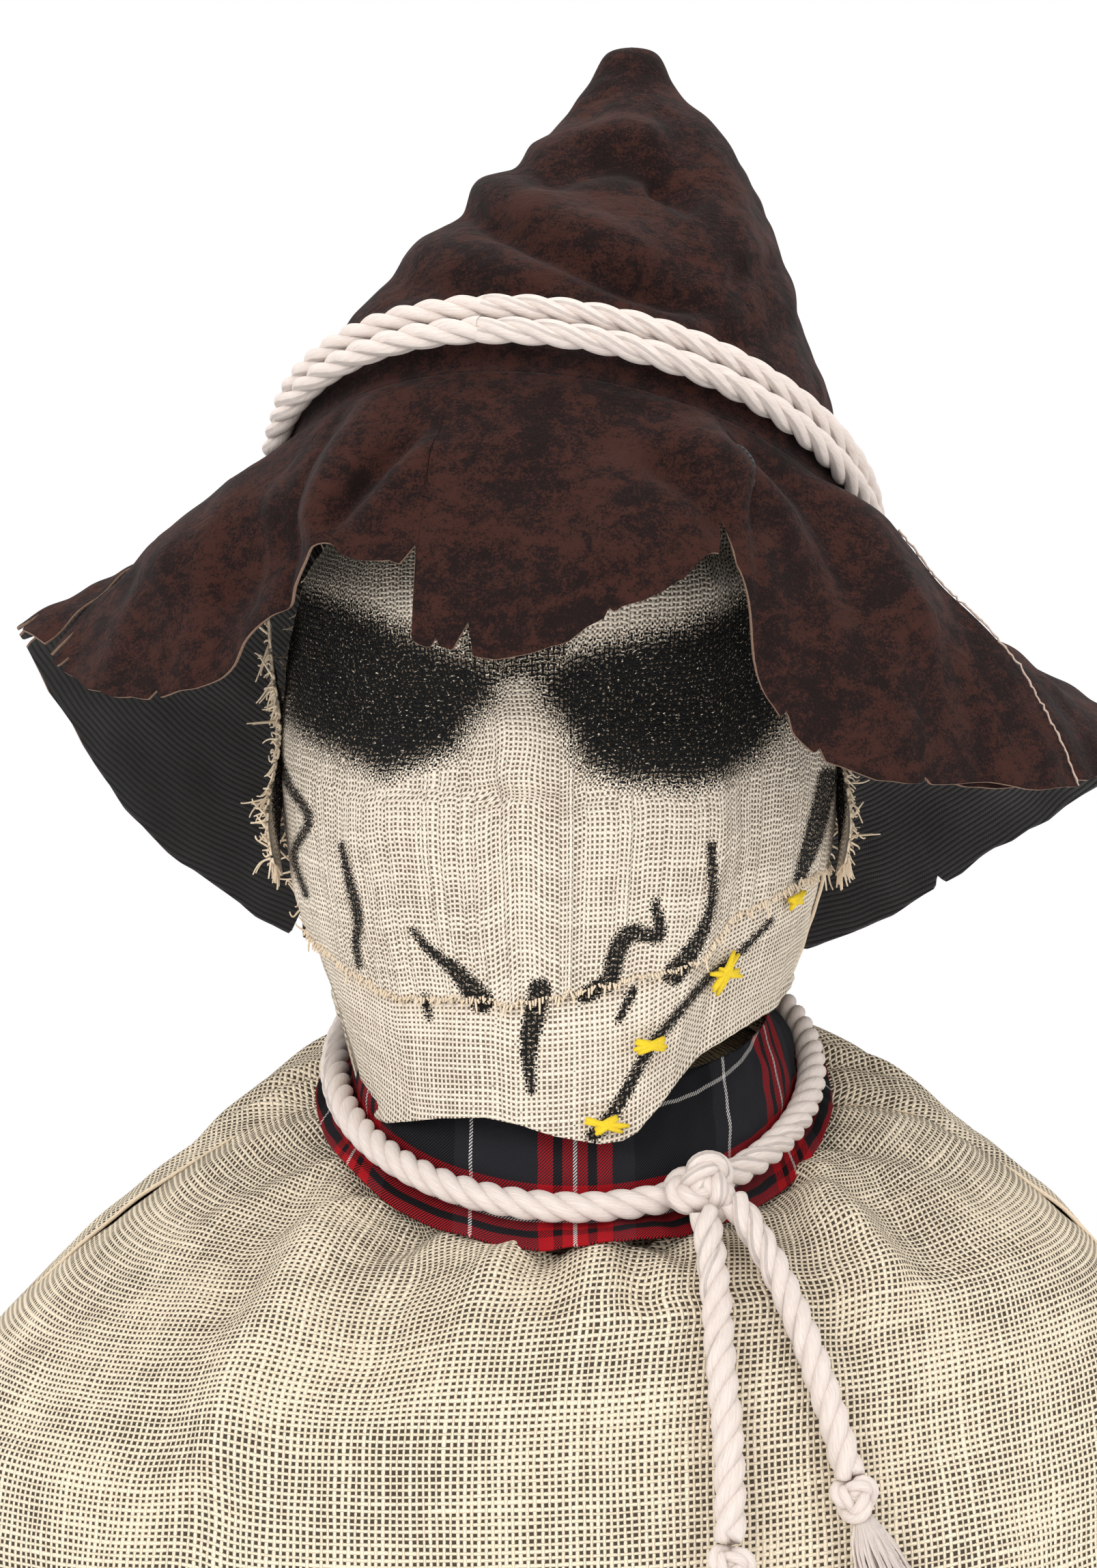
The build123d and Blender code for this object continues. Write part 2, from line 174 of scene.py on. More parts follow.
def weave(g, pitch, looseness):
    """An open plain weave: returns its height, 0 in the holes and 1 on the yarn tops, and each
    yarn's own random shade. looseness is how much wider the holes are there."""
    x, y = g.cloth_uv()
    spot = g.join(x, y)
    across = g.mul(g.sub(g.noise(g.scaled(spot, 60, 10, 1), 1.0), 0.5), 1.3)
    along = g.mul(g.sub(g.noise(g.scaled(spot, 10, 60, 1), 1.0), 0.5), 1.3)
    u = g.add(g.math("DIVIDE", x, pitch), across)
    v = g.add(g.math("DIVIDE", y, pitch), along)
    column = g.math("FLOOR", u)
    row = g.math("FLOOR", v)
    column_random = g.random(column)
    row_random = g.random(g.add(row, 0.37))
    heights = []
    for value, cell, shade, other, turn, run in (
        (u, column, column_random, v, 1.0, (420, 60)),
        (v, row, row_random, u, -1.0, (60, 420)),
    ):
        slub = g.noise(g.scaled(spot, run[0], run[1], 1), 1.0, 2.0)
        width = g.sub(g.add(0.37, g.mul(g.sub(slub, 0.5), 0.30)), g.mul(looseness, 0.09))
        width = g.add(width, g.mul(g.sub(shade, 0.5), 0.10))
        off = g.math("DIVIDE", g.sub(g.math("FRACT", value), 0.5), width)
        profile = g.math("MAXIMUM", g.sub(1.0, g.mul(off, off)), 0.0)
        lift = g.math("COSINE", g.mul(g.add(g.sub(other, 0.5), cell), math.pi))
        heights.append(g.mul(profile, g.add(0.66, g.mul(g.mul(lift, turn), 0.34))))
    height = g.math("MAXIMUM", heights[0], heights[1])
    on_top = g.math("GREATER_THAN", heights[0], heights[1])
    shade = g.add(g.mul(on_top, column_random), g.mul(g.sub(1.0, on_top), row_random))
    return height, shade


def burlap(name, light, dark, hole_shade, pitch, bump, open_from, open_to, painted=False):
    g = Graph(name, roughness=0.95)
    g.shader.inputs["Specular IOR Level"].default_value = 0.2
    uv_x, uv_y = g.cloth_uv()
    spot = g.join(uv_x, uv_y)
    looseness = g.step(g.noise(g.scaled(spot, 16, 22, 1), 1.0, 3.0), open_from, open_to)
    height, shade = weave(g, pitch, looseness)
    fibres = g.noise(g.scaled(spot, 2600, 2600, 1), 1.0, 2.0)
    cloudy = g.noise(g.scaled(spot, 18, 18, 1), 1.0, 4.0)
    share = g.add(g.mul(shade, 0.22), g.add(g.mul(cloudy, 0.45), g.mul(fibres, 0.35)))
    colour = g.mix(share, dark, light)
    # Low places between the yarns take a painted shade colour, standing for the dark seen through the weave's
    # holes.
    out_of_hole_shade = g.step(height, 0.06, 0.42)
    colour = g.mix(out_of_hole_shade, hole_shade, colour)
    if painted:
        paint = g.node("Attribute", attribute_name="paint", out=2)
        brushed_on = g.noise(g.scaled(spot, 500, 900, 1), 1.0, 3.0)
        missed = g.mul(g.step(g.noise(g.scaled(spot, 600, 1100, 1), 1.0, 3.0), 0.585, 0.68), -0.6)
        broken = g.add(g.mul(g.sub(brushed_on, 0.5), 1.3), g.mul(g.sub(height, 0.6), 0.8))
        paint = g.step(g.add(g.add(paint, broken), missed), 0.42, 0.54)
        blot = g.mix(g.mul(height, fibres), (0.003, 0.003, 0.003), (0.020, 0.019, 0.018))
        colour = g.mix(paint, colour, blot)
    relief = g.add(height, g.mul(fibres, 0.18))
    return g.finish(colour, g.bump(relief, bump))


def suede(name):
    g = Graph(name, roughness=0.95, Sheen_Weight=0.03, Sheen_Roughness=0.4)
    g.shader.inputs["Specular IOR Level"].default_value = 0.12
    spot = g.place()
    cloud = g.noise(g.scaled(spot, 1, 1, 1.3), 40.0, 6.0, 0.62, 0.5)
    torn = g.noise(g.scaled(spot, 1, 1, 1.5), 170.0, 7.0, 0.75, 0.4)
    grain = g.noise(spot, 1100.0, 2.0, 0.8)
    share = g.add(g.mul(cloud, 0.5), g.add(g.mul(torn, 0.5), g.mul(g.sub(grain, 0.5), 0.4)))
    share = g.step(share, 0.44, 0.58)
    colour = g.mix(share, (0.0105, 0.0058, 0.0054), (0.042, 0.0150, 0.0110))
    colour = g.mix(g.mul(g.step(grain, 0.45, 0.75), 0.35), colour, (0.030, 0.0135, 0.0110))
    wrinkle = g.noise(g.scaled(spot, 1, 1, 1.6), 60.0, 5.0, 0.6, 0.6)
    normal = g.bump(g.add(wrinkle, g.mul(grain, 0.10)), 0.0022)
    return g.finish(colour, normal)


def ribbed_lining(name):
    g = Graph(name, roughness=0.95, Sheen_Weight=0.1)
    x, y = g.cloth_uv()
    spot = g.join(x, y)
    wave = g.mul(g.sub(g.noise(g.scaled(spot, 12, 12, 1), 1.0), 0.5), 1.2)
    rib = g.math("ABSOLUTE", g.math("SINE", g.mul(g.add(g.math("DIVIDE", y, 0.0022), wave), math.pi)))
    stitch = g.math("ABSOLUTE", g.math("SINE", g.mul(g.math("DIVIDE", x, 0.0011), math.pi)))
    fuzz = g.noise(g.scaled(spot, 1500, 1500, 1), 1.0, 3.0)
    height = g.add(rib, g.mul(g.mul(stitch, rib), 0.35))
    # The grooves between the ribs get the darker colour: painted shade.
    share = g.mul(g.step(height, 0.2, 1.2), g.add(0.5, g.mul(fuzz, 0.5)))
    colour = g.mix(share, (0.004, 0.004, 0.005), (0.035, 0.033, 0.034))
    return g.finish(colour, g.bump(g.add(height, g.mul(fuzz, 0.3)), 0.0006))


def cut_edge(name):
    g = Graph(name, roughness=0.95)
    fuzz = g.noise(g.place(), 1400.0, 3.0)
    colour = g.mix(fuzz, (0.07, 0.035, 0.024), (0.30, 0.19, 0.13))
    return g.finish(colour, g.bump(fuzz, 0.0005))


def cotton(name):
    """Loose cotton strand: its fibres run along it with a slight twist."""
    g = Graph(name, roughness=0.8, Sheen_Weight=0.1, Sheen_Roughness=0.5)
    g.shader.inputs["Subsurface Weight"].default_value = 0.15
    g.shader.inputs["Subsurface Radius"].default_value = (0.004, 0.003, 0.002)
    x, y = g.cloth_uv()
    spot = g.join(g.add(x, g.mul(y, 0.35)), y)
    fibres = g.noise(g.scaled(spot, 2600, 130, 1), 1.0, 3.0, 0.6)
    fine = g.noise(g.scaled(spot, 7000, 500, 1), 1.0, 2.0)
    height = g.add(g.mul(fibres, 0.7), g.mul(fine, 0.3))
    # The colour darkens where the fibres dip: painted shade between them.
    shade = g.step(height, 0.3, 0.7)
    colour = g.mix(shade, (0.62, 0.53, 0.475), (0.79, 0.695, 0.64))
    return g.finish(colour, g.bump(height, 0.0004))


def tartan(name):
    """Twill plaid: broad red, grey and black bands crossed by thin pale lines."""
    g = Graph(name, roughness=0.9)
    g.shader.inputs["Specular IOR Level"].default_value = 0.15
    x, y = g.cloth_uv()
    sett = 0.104

    def band(value, centre, half):
        at = g.math("FRACT", g.math("DIVIDE", value, sett))
        return g.math("LESS_THAN", g.math("ABSOLUTE", g.sub(at, centre)), half)

    def thread(value):
        colour = g.mix(band(value, 0.25, 0.13), (0.015, 0.0145, 0.018), (0.36, 0.005, 0.010))
        colour = g.mix(band(value, 0.63, 0.17), colour, (0.003, 0.003, 0.004))
        lines = g.math("MAXIMUM", band(value, 0.19, 0.016), band(value, 0.31, 0.016))
        colour = g.mix(lines, colour, (0.006, 0.004, 0.005))
        pale = g.math("MAXIMUM", band(value, 0.25, 0.007), band(value, 0.87, 0.007))
        return g.mix(pale, colour, (0.62, 0.58, 0.55))

    diagonal = g.math("FRACT", g.math("DIVIDE", g.add(x, y), 0.0012))
    over = g.math("GREATER_THAN", diagonal, 0.5)
    across, along = thread(g.add(x, 0.026)), thread(g.add(y, 0.013))
    colour = g.mix(over, across, along)
    fuzz = g.noise(g.scaled(g.join(x, y), 1800, 1800, 1), 1.0, 2.0)
    colour = g.mix(g.mul(fuzz, 0.22), colour, (0.01, 0.01, 0.01))
    relief = g.add(g.math("ABSOLUTE", g.sub(diagonal, 0.5)), g.mul(fuzz, 0.4))
    return g.finish(colour, g.bump(relief, 0.0003))


YARN_FUZZ = 1500.0


def plain_yarn(name, light, dark):
    g = Graph(name, roughness=0.85)
    fuzz = g.noise(g.place(), YARN_FUZZ, 3.0)
    return g.finish(g.mix(fuzz, dark, light), g.bump(fuzz, 0.0004))


def wood(name, light, dark, stretch):
    g = Graph(name, roughness=0.6)
    spot = g.scaled(g.place(), *stretch)
    rings = g.node("TexWave", spot, 26.0, 5.0, 3.0, 1.4, wave_type="RINGS", out=1)
    grain = g.noise(spot, 160.0, 5.0)
    share = g.add(g.mul(rings, 0.6), g.mul(grain, 0.5))
    colour = g.mix(share, light, dark)
    worn = g.noise(g.place(), 18.0, 4.0)
    colour = g.mix(g.mul(g.step(worn, 0.5, 0.8), 0.35), colour, dark)
    return g.finish(colour, g.bump(share, 0.0004), g.add(0.5, g.mul(grain, 0.25)))


def brushed(name, colour):
    g = Graph(name, roughness=0.35, Metallic=1.0)
    streaks = g.noise(g.scaled(g.place(), 1, 1, 18), 120.0, 4.0)
    spots = g.noise(g.place(), 60.0, 4.0)
    tone = g.mix(g.step(spots, 0.45, 0.75), colour, tuple(c * 0.6 for c in colour))
    return g.finish(tone, g.bump(streaks, 0.0002), g.add(0.25, g.mul(spots, 0.3)))


def speckled(name, light, dark, scale, roughness, bump):
    g = Graph(name, roughness=roughness)
    fine = g.noise(g.place(), scale, 4.0)
    wide = g.noise(g.place(), scale / 12, 3.0)
    share = g.add(g.mul(fine, 0.6), g.mul(wide, 0.4))
    return g.finish(g.mix(share, dark, light), g.bump(fine, bump))


MATERIALS = {
    # Each burlap's fourth colour is the painted shade in its weave's holes and crevices.
    "tunic": burlap(
        "burlap tunic", (0.97, 0.86, 0.67), (0.80, 0.65, 0.47), (0.06, 0.045, 0.032), 0.0024, 0.0011, 0.30, 0.62
    ),
    "mask": burlap(
        "burlap mask", (0.97, 0.88, 0.75), (0.78, 0.65, 0.51), (0.13, 0.095, 0.065), 0.0019, 0.0009, 0.2, 0.9,
        painted=True,
    ),
    "suede": suede("hat suede"),
    "lining": ribbed_lining("hat lining"),
    "edge": cut_edge("hat cut edge"),
    "rope": cotton("cotton rope"),
    "plaid": tartan("plaid twill"),
    "yarn": plain_yarn("burlap yarn", (0.90, 0.76, 0.58), (0.66, 0.51, 0.35)),
    "edge yarn": plain_yarn("cut edge fibres", (0.62, 0.46, 0.38), (0.36, 0.25, 0.20)),
    "black yarn": plain_yarn("painted yarn", (0.03, 0.028, 0.028), (0.006, 0.006, 0.006)),
    "stitch": plain_yarn("yellow stitch", (0.90, 0.68, 0.02), (0.62, 0.40, 0.01)),
    "filling": speckled("fibre filling", (0.86, 0.84, 0.79), (0.62, 0.58, 0.52), 420.0, 0.95, 0.002),
    "foam": speckled("head foam", (0.80, 0.76, 0.62), (0.58, 0.52, 0.38), 700.0, 0.9, 0.0015),
    "board": wood("board wood", (0.50, 0.33, 0.18), (0.27, 0.16, 0.08), (1.0, 0.12, 1.0)),
    "frame": wood("frame wood", (0.66, 0.50, 0.31), (0.42, 0.28, 0.15), (1.0, 1.0, 0.1)),
    "steel": brushed("zinc steel", (0.62, 0.63, 0.64)),
    "rubber": speckled("pad rubber", (0.035, 0.035, 0.036), (0.012, 0.012, 0.012), 900.0, 0.8, 0.0004),
    "plastic": speckled("bush plastic", (0.84, 0.83, 0.80), (0.70, 0.69, 0.66), 500.0, 0.5, 0.0002),
}


# ---------------------------------------------------------------- mesh helpers
def smoothstep(value):
    value = np.clip(value, 0, 1)
    return value * value * (3 - 2 * value)


def through(stops, at):
    """Smooth values at each place, through rows of (place, value, value, ...)."""
    stops = np.asarray(stops, float)
    place, values = stops[:, 0], stops[:, 1:]
    slopes = np.gradient(values, place, axis=0)
    at = np.clip(np.asarray(at, float), place[0], place[-1])
    i = np.clip(np.searchsorted(place, at, side="right") - 1, 0, len(place) - 2)
    width = (place[i + 1] - place[i])[:, None]
    s = ((at - place[i]) / (place[i + 1] - place[i]))[:, None]
    return (
        (2 * s**3 - 3 * s**2 + 1) * values[i]
        + (s**3 - 2 * s**2 + s) * width * slopes[i]
        + (3 * s**2 - 2 * s**3) * values[i + 1]
        + (s**3 - s**2) * width * slopes[i + 1]
    )


def ripple(points, size, seed):
    """Smooth noise from -1 to 1: a few crossing sine waves, fixed by seed."""
    waves = np.random.default_rng(seed)
    total = np.zeros(points.shape[:-1])
    for _ in range(9):
        direction = waves.normal(size=3)
        direction *= waves.uniform(0.6, 1.7) / np.linalg.norm(direction)
        total += np.sin(points @ direction * 2 * math.pi / size + waves.uniform(0, 6.3))
    return total / 4.0


def outward(grid, closed=True):
    """Unit normals that point out of a surface. A closed one's columns go all the way round it."""
    if closed:
        wide = np.concatenate([grid[:, -1:], grid, grid[:, :1]], axis=1)
        return outward(wide, False)[:, 1:-1]
    inward = np.cross(np.gradient(grid, axis=1), np.gradient(grid, axis=0))
    return -inward / np.maximum(np.linalg.norm(inward, axis=2, keepdims=True), 1e-9)


def cloth_lengths(grid, row, column):
    """Each point's distance across from the given column and along from the given row."""
    across = np.zeros(grid.shape[:2])
    across[:, 1:] = np.cumsum(np.linalg.norm(np.diff(grid, axis=1), axis=2), axis=1)
    across -= across[:, column : column + 1]
    along = np.zeros(grid.shape[:2])
    along[1:] = np.cumsum(np.linalg.norm(np.diff(grid, axis=0), axis=2), axis=0)
    along -= along[row : row + 1]
    return across, along


def make_mesh(name, points, faces, uv=None, slots=None, materials=()):
    """A smooth mesh object. faces is a list, points are in millimetres and uv is in cloth millimetres."""
    mesh = bpy.data.meshes.new(name)
    mesh.from_pydata((np.asarray(points) * MM).tolist(), [], faces)
    for material in materials:
        mesh.materials.append(MATERIALS[material])
    if slots is not None:
        mesh.polygons.foreach_set("material_index", np.asarray(slots, np.int32))
    if uv is not None:
        layer = mesh.uv_layers.new(name="Cloth")
        corners = np.zeros(len(mesh.loops), np.int32)
        mesh.loops.foreach_get("vertex_index", corners)
        layer.data.foreach_set("uv", (np.asarray(uv)[corners] * MM).ravel())
    mesh.polygons.foreach_set("use_smooth", np.full(len(mesh.polygons), True))
    mesh.update()
    made = bpy.data.objects.new(name, mesh)
    bpy.context.scene.collection.objects.link(made)
    return made


def quads(rows, columns, closed=False, start=0):
    i, j = np.meshgrid(np.arange(rows - 1), np.arange(columns if closed else columns - 1), indexing="ij")
    k = (j + 1) % columns
    a, b = start + i * columns + j, start + i * columns + k
    c, d = start + (i + 1) * columns + k, start + (i + 1) * columns + j
    return np.stack([a, b, c, d], axis=-1).reshape(-1, 4)


def cloth(name, grid, thickness, materials, closed=False, row=0, column=0):
    """A sheet with two faces: grid is its outer face, rows going down, columns to the right as seen
    from outside. materials are its outer face, inner face and cut edge."""
    rows, columns = grid.shape[:2]
    inner = grid - outward(grid, closed) * thickness
    across, along = cloth_lengths(grid, row, column)
    uv = np.stack([across, along], axis=-1).reshape(-1, 2)
    count = rows * columns
    outer_faces = quads(rows, columns, closed)[:, ::-1]
    inner_faces = quads(rows, columns, closed, count)
    edges = [np.arange(columns), (rows - 1) * columns + np.arange(columns)]
    loops = []
    for n, line in enumerate(edges):
        following = np.roll(line, -1) if closed else line[1:]
        line = line if closed else line[:-1]
        strip = np.stack([line, following, following + count, line + count], axis=-1)
        loops.append(strip if n == 0 else strip[:, ::-1])
    if not closed:
        for n, line in enumerate((np.arange(rows) * columns, np.arange(rows) * columns + columns - 1)):
            strip = np.stack([line[:-1], line[1:], line[1:] + count, line[:-1] + count], axis=-1)
            loops.append(strip[:, ::-1] if n == 0 else strip)
    rim_faces = np.concatenate(loops)
    faces = np.concatenate([outer_faces, inner_faces, rim_faces])
    slots = np.repeat([0, 1, 2], [len(outer_faces), len(inner_faces), len(rim_faces)])
    points = np.concatenate([grid.reshape(-1, 3), inner.reshape(-1, 3)])
    return make_mesh(name, points, faces.tolist(), np.concatenate([uv, uv]), slots, materials)


def solid_of(name, grid, material):
    """A closed skin: rows go down it, its columns close, and each end closes on its middle."""
    rows, columns = grid.shape[:2]
    faces = quads(rows, columns, True)[:, ::-1].tolist()
    points = np.concatenate([grid.reshape(-1, 3), grid[:1].mean(axis=1), grid[-1:].mean(axis=1)])
    top, bottom = rows * columns, rows * columns + 1
    last = (rows - 1) * columns
    for j in range(columns):
        k = (j + 1) % columns
        faces.append([top, j, k])
        faces.append([bottom, last + k, last + j])
    across, along = cloth_lengths(grid, 0, 0)
    uv = np.stack([across, along], axis=-1).reshape(-1, 2)
    uv = np.concatenate([uv, [[0, 0], [0, along.max()]]])
    return make_mesh(name, points, faces, uv, materials=[material])


def tubes(name, paths, radii, sides, material, caps=True):
    """Many round strands as one mesh. Each path is its own list of points."""
    points, faces, uvs, start = [], [], [], 0
    turns = np.linspace(0, 2 * math.pi, sides, endpoint=False)
    for path, radius in zip(paths, radii):
        path = np.asarray(path, float)
        tangent = np.gradient(path, axis=0)
        tangent /= np.maximum(np.linalg.norm(tangent, axis=1, keepdims=True), 1e-9)
        side = np.cross(tangent[0], [0.3, 0.2, 0.93])
        frames = []
        for t in tangent:
            side = side - t * (side @ t)
            side /= np.linalg.norm(side)
            frames.append((side, np.cross(t, side)))
        a = np.array([f[0] for f in frames])[:, None]
        b = np.array([f[1] for f in frames])[:, None]
        size = np.broadcast_to(np.asarray(radius, float).reshape(-1, 1, 1), (len(path), 1, 1))
        ring = np.cos(turns)[None, :, None] * a + np.sin(turns)[None, :, None] * b
        points.append((path[:, None] + ring * size).reshape(-1, 3))
        length = np.concatenate([[0], np.cumsum(np.linalg.norm(np.diff(path, axis=0), axis=1))])
        around = turns * np.max(radius)
        grid = np.stack(np.meshgrid(length, around, indexing="ij"), axis=-1)[..., ::-1]
        uvs.append(grid.reshape(-1, 2))
        faces += quads(len(path), sides, True, start)[:, ::-1].tolist()
        if caps:
            faces.append((start + np.arange(sides)).tolist())
            faces.append((start + (len(path) - 1) * sides + np.arange(sides))[::-1].tolist())
        start += len(path) * sides
    return make_mesh(name, np.concatenate(points), faces, np.concatenate(uvs), materials=[material])


def evenly(path, step, closed=False):
    path = np.asarray(path, float)
    if closed:
        path = np.concatenate([path, path[:1]])
    length = np.concatenate([[0], np.cumsum(np.linalg.norm(np.diff(path, axis=0), axis=1))])
    count = max(3, round(length[-1] / step))
    at = np.linspace(0, length[-1], count, endpoint=not closed)
    return np.stack([np.interp(at, length, path[:, k]) for k in range(3)], axis=1)


def nurbs_line(name, points):
    """The points' smooth line, read from a NURBS curve that follows them."""
    data = bpy.data.curves.new(name, "CURVE")
    data.dimensions = "3D"
    data.resolution_u = 24
    spline = data.splines.new("NURBS")
    spline.points.add(len(points) - 1)
    for point, place in zip(spline.points, points):
        point.co = (*(value * MM for value in place), 1)
    spline.order_u = 3
    spline.use_endpoint_u = True
    curve = bpy.data.objects.new(name, data)
    mesh = bpy.data.meshes.new_from_object(curve)
    line = np.array([vertex.co[:] for vertex in mesh.vertices]) / MM
    bpy.data.objects.remove(curve)
    bpy.data.meshes.remove(mesh)
    return line


# ---------------------------------------------------------------- twisted rope
STRAND_COUNT = 3
STRAND_RADIUS = 3.0
STRAND_OFFSET = 2.65
LAY_LENGTH = 29.0
BAND_LAY = 38.0
BAND_SCALE = 0.88


def strands_on(path, closed=False, phase=0.0, scale=1.0, lay=LAY_LENGTH, step=1.1):
    """The centre lines of a rope's strands round its path, twisted together."""
    path = evenly(path, step, closed)
    if closed:
        wide = np.concatenate([path[-1:], path, path[:1]])
        tangent = (wide[2:] - wide[:-2])
    else:
        tangent = np.gradient(path, axis=0)
    tangent /= np.linalg.norm(tangent, axis=1, keepdims=True)
    side = np.cross(tangent[0], [0.12, 0.31, 0.94])
    sides = []
    for t in tangent:
        side = side - t * (side @ t)
        side /= np.linalg.norm(side)
        sides.append(side)
    sides = np.array(sides)
    ups = np.cross(tangent, sides)
    length = np.arange(len(path)) * np.linalg.norm(np.diff(path, axis=0), axis=1).mean()
    total = length[-1] + (np.linalg.norm(path[0] - path[-1]) if closed else 0)
    if closed:
        drift = sides[-1] - tangent[0] * (sides[-1] @ tangent[0])
        turned = math.atan2(drift @ ups[0], drift @ sides[0])
        turns = max(1, round(total / lay))
        rate = (2 * math.pi * turns - turned) / total
    else:
        rate = 2 * math.pi / lay
    found = []
    for k in range(STRAND_COUNT):
        angle = phase + rate * length + 2 * math.pi * k / STRAND_COUNT
        offset = np.cos(angle)[:, None] * sides + np.sin(angle)[:, None] * ups
        found.append(path + offset * STRAND_OFFSET * scale)
    if closed:
        found = [np.concatenate([line, line[:2]]) for line in found]
    return found


def rope(name, path, closed=False, phase=0.0, scale=1.0, lay=LAY_LENGTH):
    lines = strands_on(path, closed, phase, scale, lay)
    radii = []
    for k, line in enumerate(lines):
        swell = 1 + 0.045 * np.sin(np.arange(len(line)) * 0.21 + k * 2.0 + phase)
        radii.append(STRAND_RADIUS * scale * swell)
    return tubes(name, lines, radii, 14, "rope", caps=not closed)


Oval = namedtuple("Oval", "x y z rise_x rise_y half_long half_wide")


def oval_line(oval, count=240):
    """The centre line of a rope ring, as a closed line of count points."""
    steep = math.hypot(oval.rise_x, oval.rise_y)
    uphill = np.array([oval.rise_x, oval.rise_y, steep**2]) / steep
    uphill /= np.linalg.norm(uphill)
    normal = np.array([-oval.rise_x, -oval.rise_y, 1.0])
    normal /= np.linalg.norm(normal)
    sideways = np.cross(normal, uphill)
    turns = np.linspace(0, 2 * math.pi, count, endpoint=False)[:, None]
    centre = np.array([oval.x, oval.y, oval.z])
    return centre + (np.cos(turns) * oval.half_long * uphill + np.sin(turns) * oval.half_wide * sideways)


# ---------------------------------------------------------------- cords: the neck rope's two tails
LEFT_TAIL = (
    (55.5, -105, 515),
    (58.5, -121, 494),
    (59.5, -136, 465),
    (62.5, -147, 436),
    (62, -155.5, 409),
)
RIGHT_TAIL = (
    (66, -103, 519),
    (76, -111, 505),
    (87, -124, 481),
    (97, -134, 453),
    (104, -140.5, 428),
)
NECK_KNOT = (55.0, -97.0, 523.0)
LEFT_TAIL_KNOT = (62, -157, 400)
RIGHT_TAIL_KNOT = (105.5, -142.5, 421)
LEFT_TASSEL = ((62, -157, 394), (62, -166, 352))
RIGHT_TASSEL = ((108, -143.5, 415), (120, -152, 380))


def knot(name, centre, size, thickness, tilt, body_scale):
    """An overhand knot drawn up tight: the rope goes round itself in three lobes."""
    turns = np.linspace(0, 2 * math.pi, 150, endpoint=False)
    loop = np.stack(
        [
            np.sin(turns) + 2 * np.sin(2 * turns),
            np.cos(turns) - 2 * np.cos(2 * turns),
            -1.5 * np.sin(3 * turns),
        ],
        axis=1,
    )
    loop *= size / 3.0
    about_x, about_z = (math.radians(angle) for angle in tilt)
    turn_x = np.array(
        [[1, 0, 0], [0, math.cos(about_x), -math.sin(about_x)], [0, math.sin(about_x), math.cos(about_x)]]
    )
    turn_z = np.array(
        [[math.cos(about_z), -math.sin(about_z), 0], [math.sin(about_z), math.cos(about_z), 0], [0, 0, 1]]
    )
    loop = loop * np.asarray(body_scale) @ turn_z.T @ turn_x.T + np.asarray(centre)
    return rope(name, loop, closed=True, scale=thickness, lay=LAY_LENGTH * thickness)


def tassel(name, start, end, count, spread, seed):
    """Loose ends of the rope: wavy yarns that fan out from the knot."""
    draw = np.random.default_rng(seed)
    start, end = np.asarray(start, float), np.asarray(end, float)
    run = end - start
    length = np.linalg.norm(run)
    down = run / length
    side = np.cross(down, [0, 1, 0])
    side /= np.linalg.norm(side)
    other = np.cross(down, side)
    paths, radii = [], []
    share = np.linspace(0, 1, 16)
    for _ in range(count):
        angle = draw.uniform(0, 2 * math.pi)
        out = math.sqrt(draw.uniform(0, 1))
        reach = draw.uniform(0.72, 1.0)
        phase = draw.uniform(0, 6.3)
        wave = draw.uniform(0.3, 1.1)
        width = 2.5 + (spread - 2.5) * share * out + 1.2 * np.sin(share * math.pi) * out
        radial = math.cos(angle) * side + math.sin(angle) * other * 0.75
        path = start + np.outer(share * reach * length, down) + np.outer(width * (0.35 + 0.65 * out), radial)
        path += np.outer(wave * np.sin(share * 11 + phase) * share, side)
        path += np.outer(wave * np.cos(share * 9 + phase) * share, other)
        paths.append(path)
        radii.append(np.interp(share, [0, 0.8, 1], [0.75, 0.6, 0.22]) * draw.uniform(0.8, 1.2))
    return tubes(name, paths, radii, 6, "rope")


def make_tails():
    tails = (
        ("left", LEFT_TAIL, LEFT_TAIL_KNOT, LEFT_TASSEL, 10.5, 11),
        ("right", RIGHT_TAIL, RIGHT_TAIL_KNOT, RIGHT_TASSEL, 11.0, 12),
    )
    for side, route, knot_at, tassel_line, spread, seed in tails:
        line = nurbs_line(f"rope_tail_{side}_line", route)
        tail = rope(f"rope_{side}", line, phase=0.6 * seed)
        end_knot = knot(f"rope_{side}_knot", knot_at, 6.0, 0.62, (70, 20 * seed), (1.0, 1.0, 0.9))
        brush = tassel(f"rope_{side}_tassel", *tassel_line, 90, spread, seed)
        for piece, node in ((tail, "rope_tail"), (end_knot, "tail_knot"), (brush, "tassel")):
            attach(piece, "figure")
            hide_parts(f"{node}_{side}")


make_tails()


# ---------------------------------------------------------------- cloth surfaces
# How far the hat's rings rise for each millimetre towards +X and +Y.
HAT_TILT = (-0.15, -0.51)
Ring = namedtuple("Ring", "z x y half_x half_y rise_x rise_y", defaults=(0.0, 0.0))

TUNIC_RINGS = (
    Ring(546, 9.5, 0, 88, 97, 0, 0.45),
    Ring(544, 9, 0, 110, 108, 0.02, 0.43),
    Ring(537, 8, 0, 132, 114, 0.04, 0.38),
    Ring(521, 6, 0, 158, 120, 0.05, 0.30),
    Ring(495, 3, 0, 192, 128, 0.06, 0.20),
    Ring(455, 0, 0, 230, 140, 0.05, 0.10),
    Ring(402, 0, 0, 258, 150, 0.02, 0.03),
    Ring(335, 0, 0, 268, 158),
    Ring(210, 0, 0, 264, 168),
    Ring(98, 0, 0, 268, 180),
)
MASK_RINGS = (
    Ring(802, 4, 0, 20, 20),
    Ring(794, 4, 0, 48, 47),
    Ring(778, 4, 0, 71, 70),
    Ring(755, 4, 0, 89, 88),
    Ring(725, 4, -1, 100, 99),
    Ring(690, 4, -2, 104, 103),
    Ring(650, 4, -3, 103, 103),
    Ring(618, 4, -4, 97, 101),
    Ring(592, 4, -4, 88, 99),
    Ring(565, 4, -5, 79, 97),
    Ring(530, 4, -6, 72, 95),
)
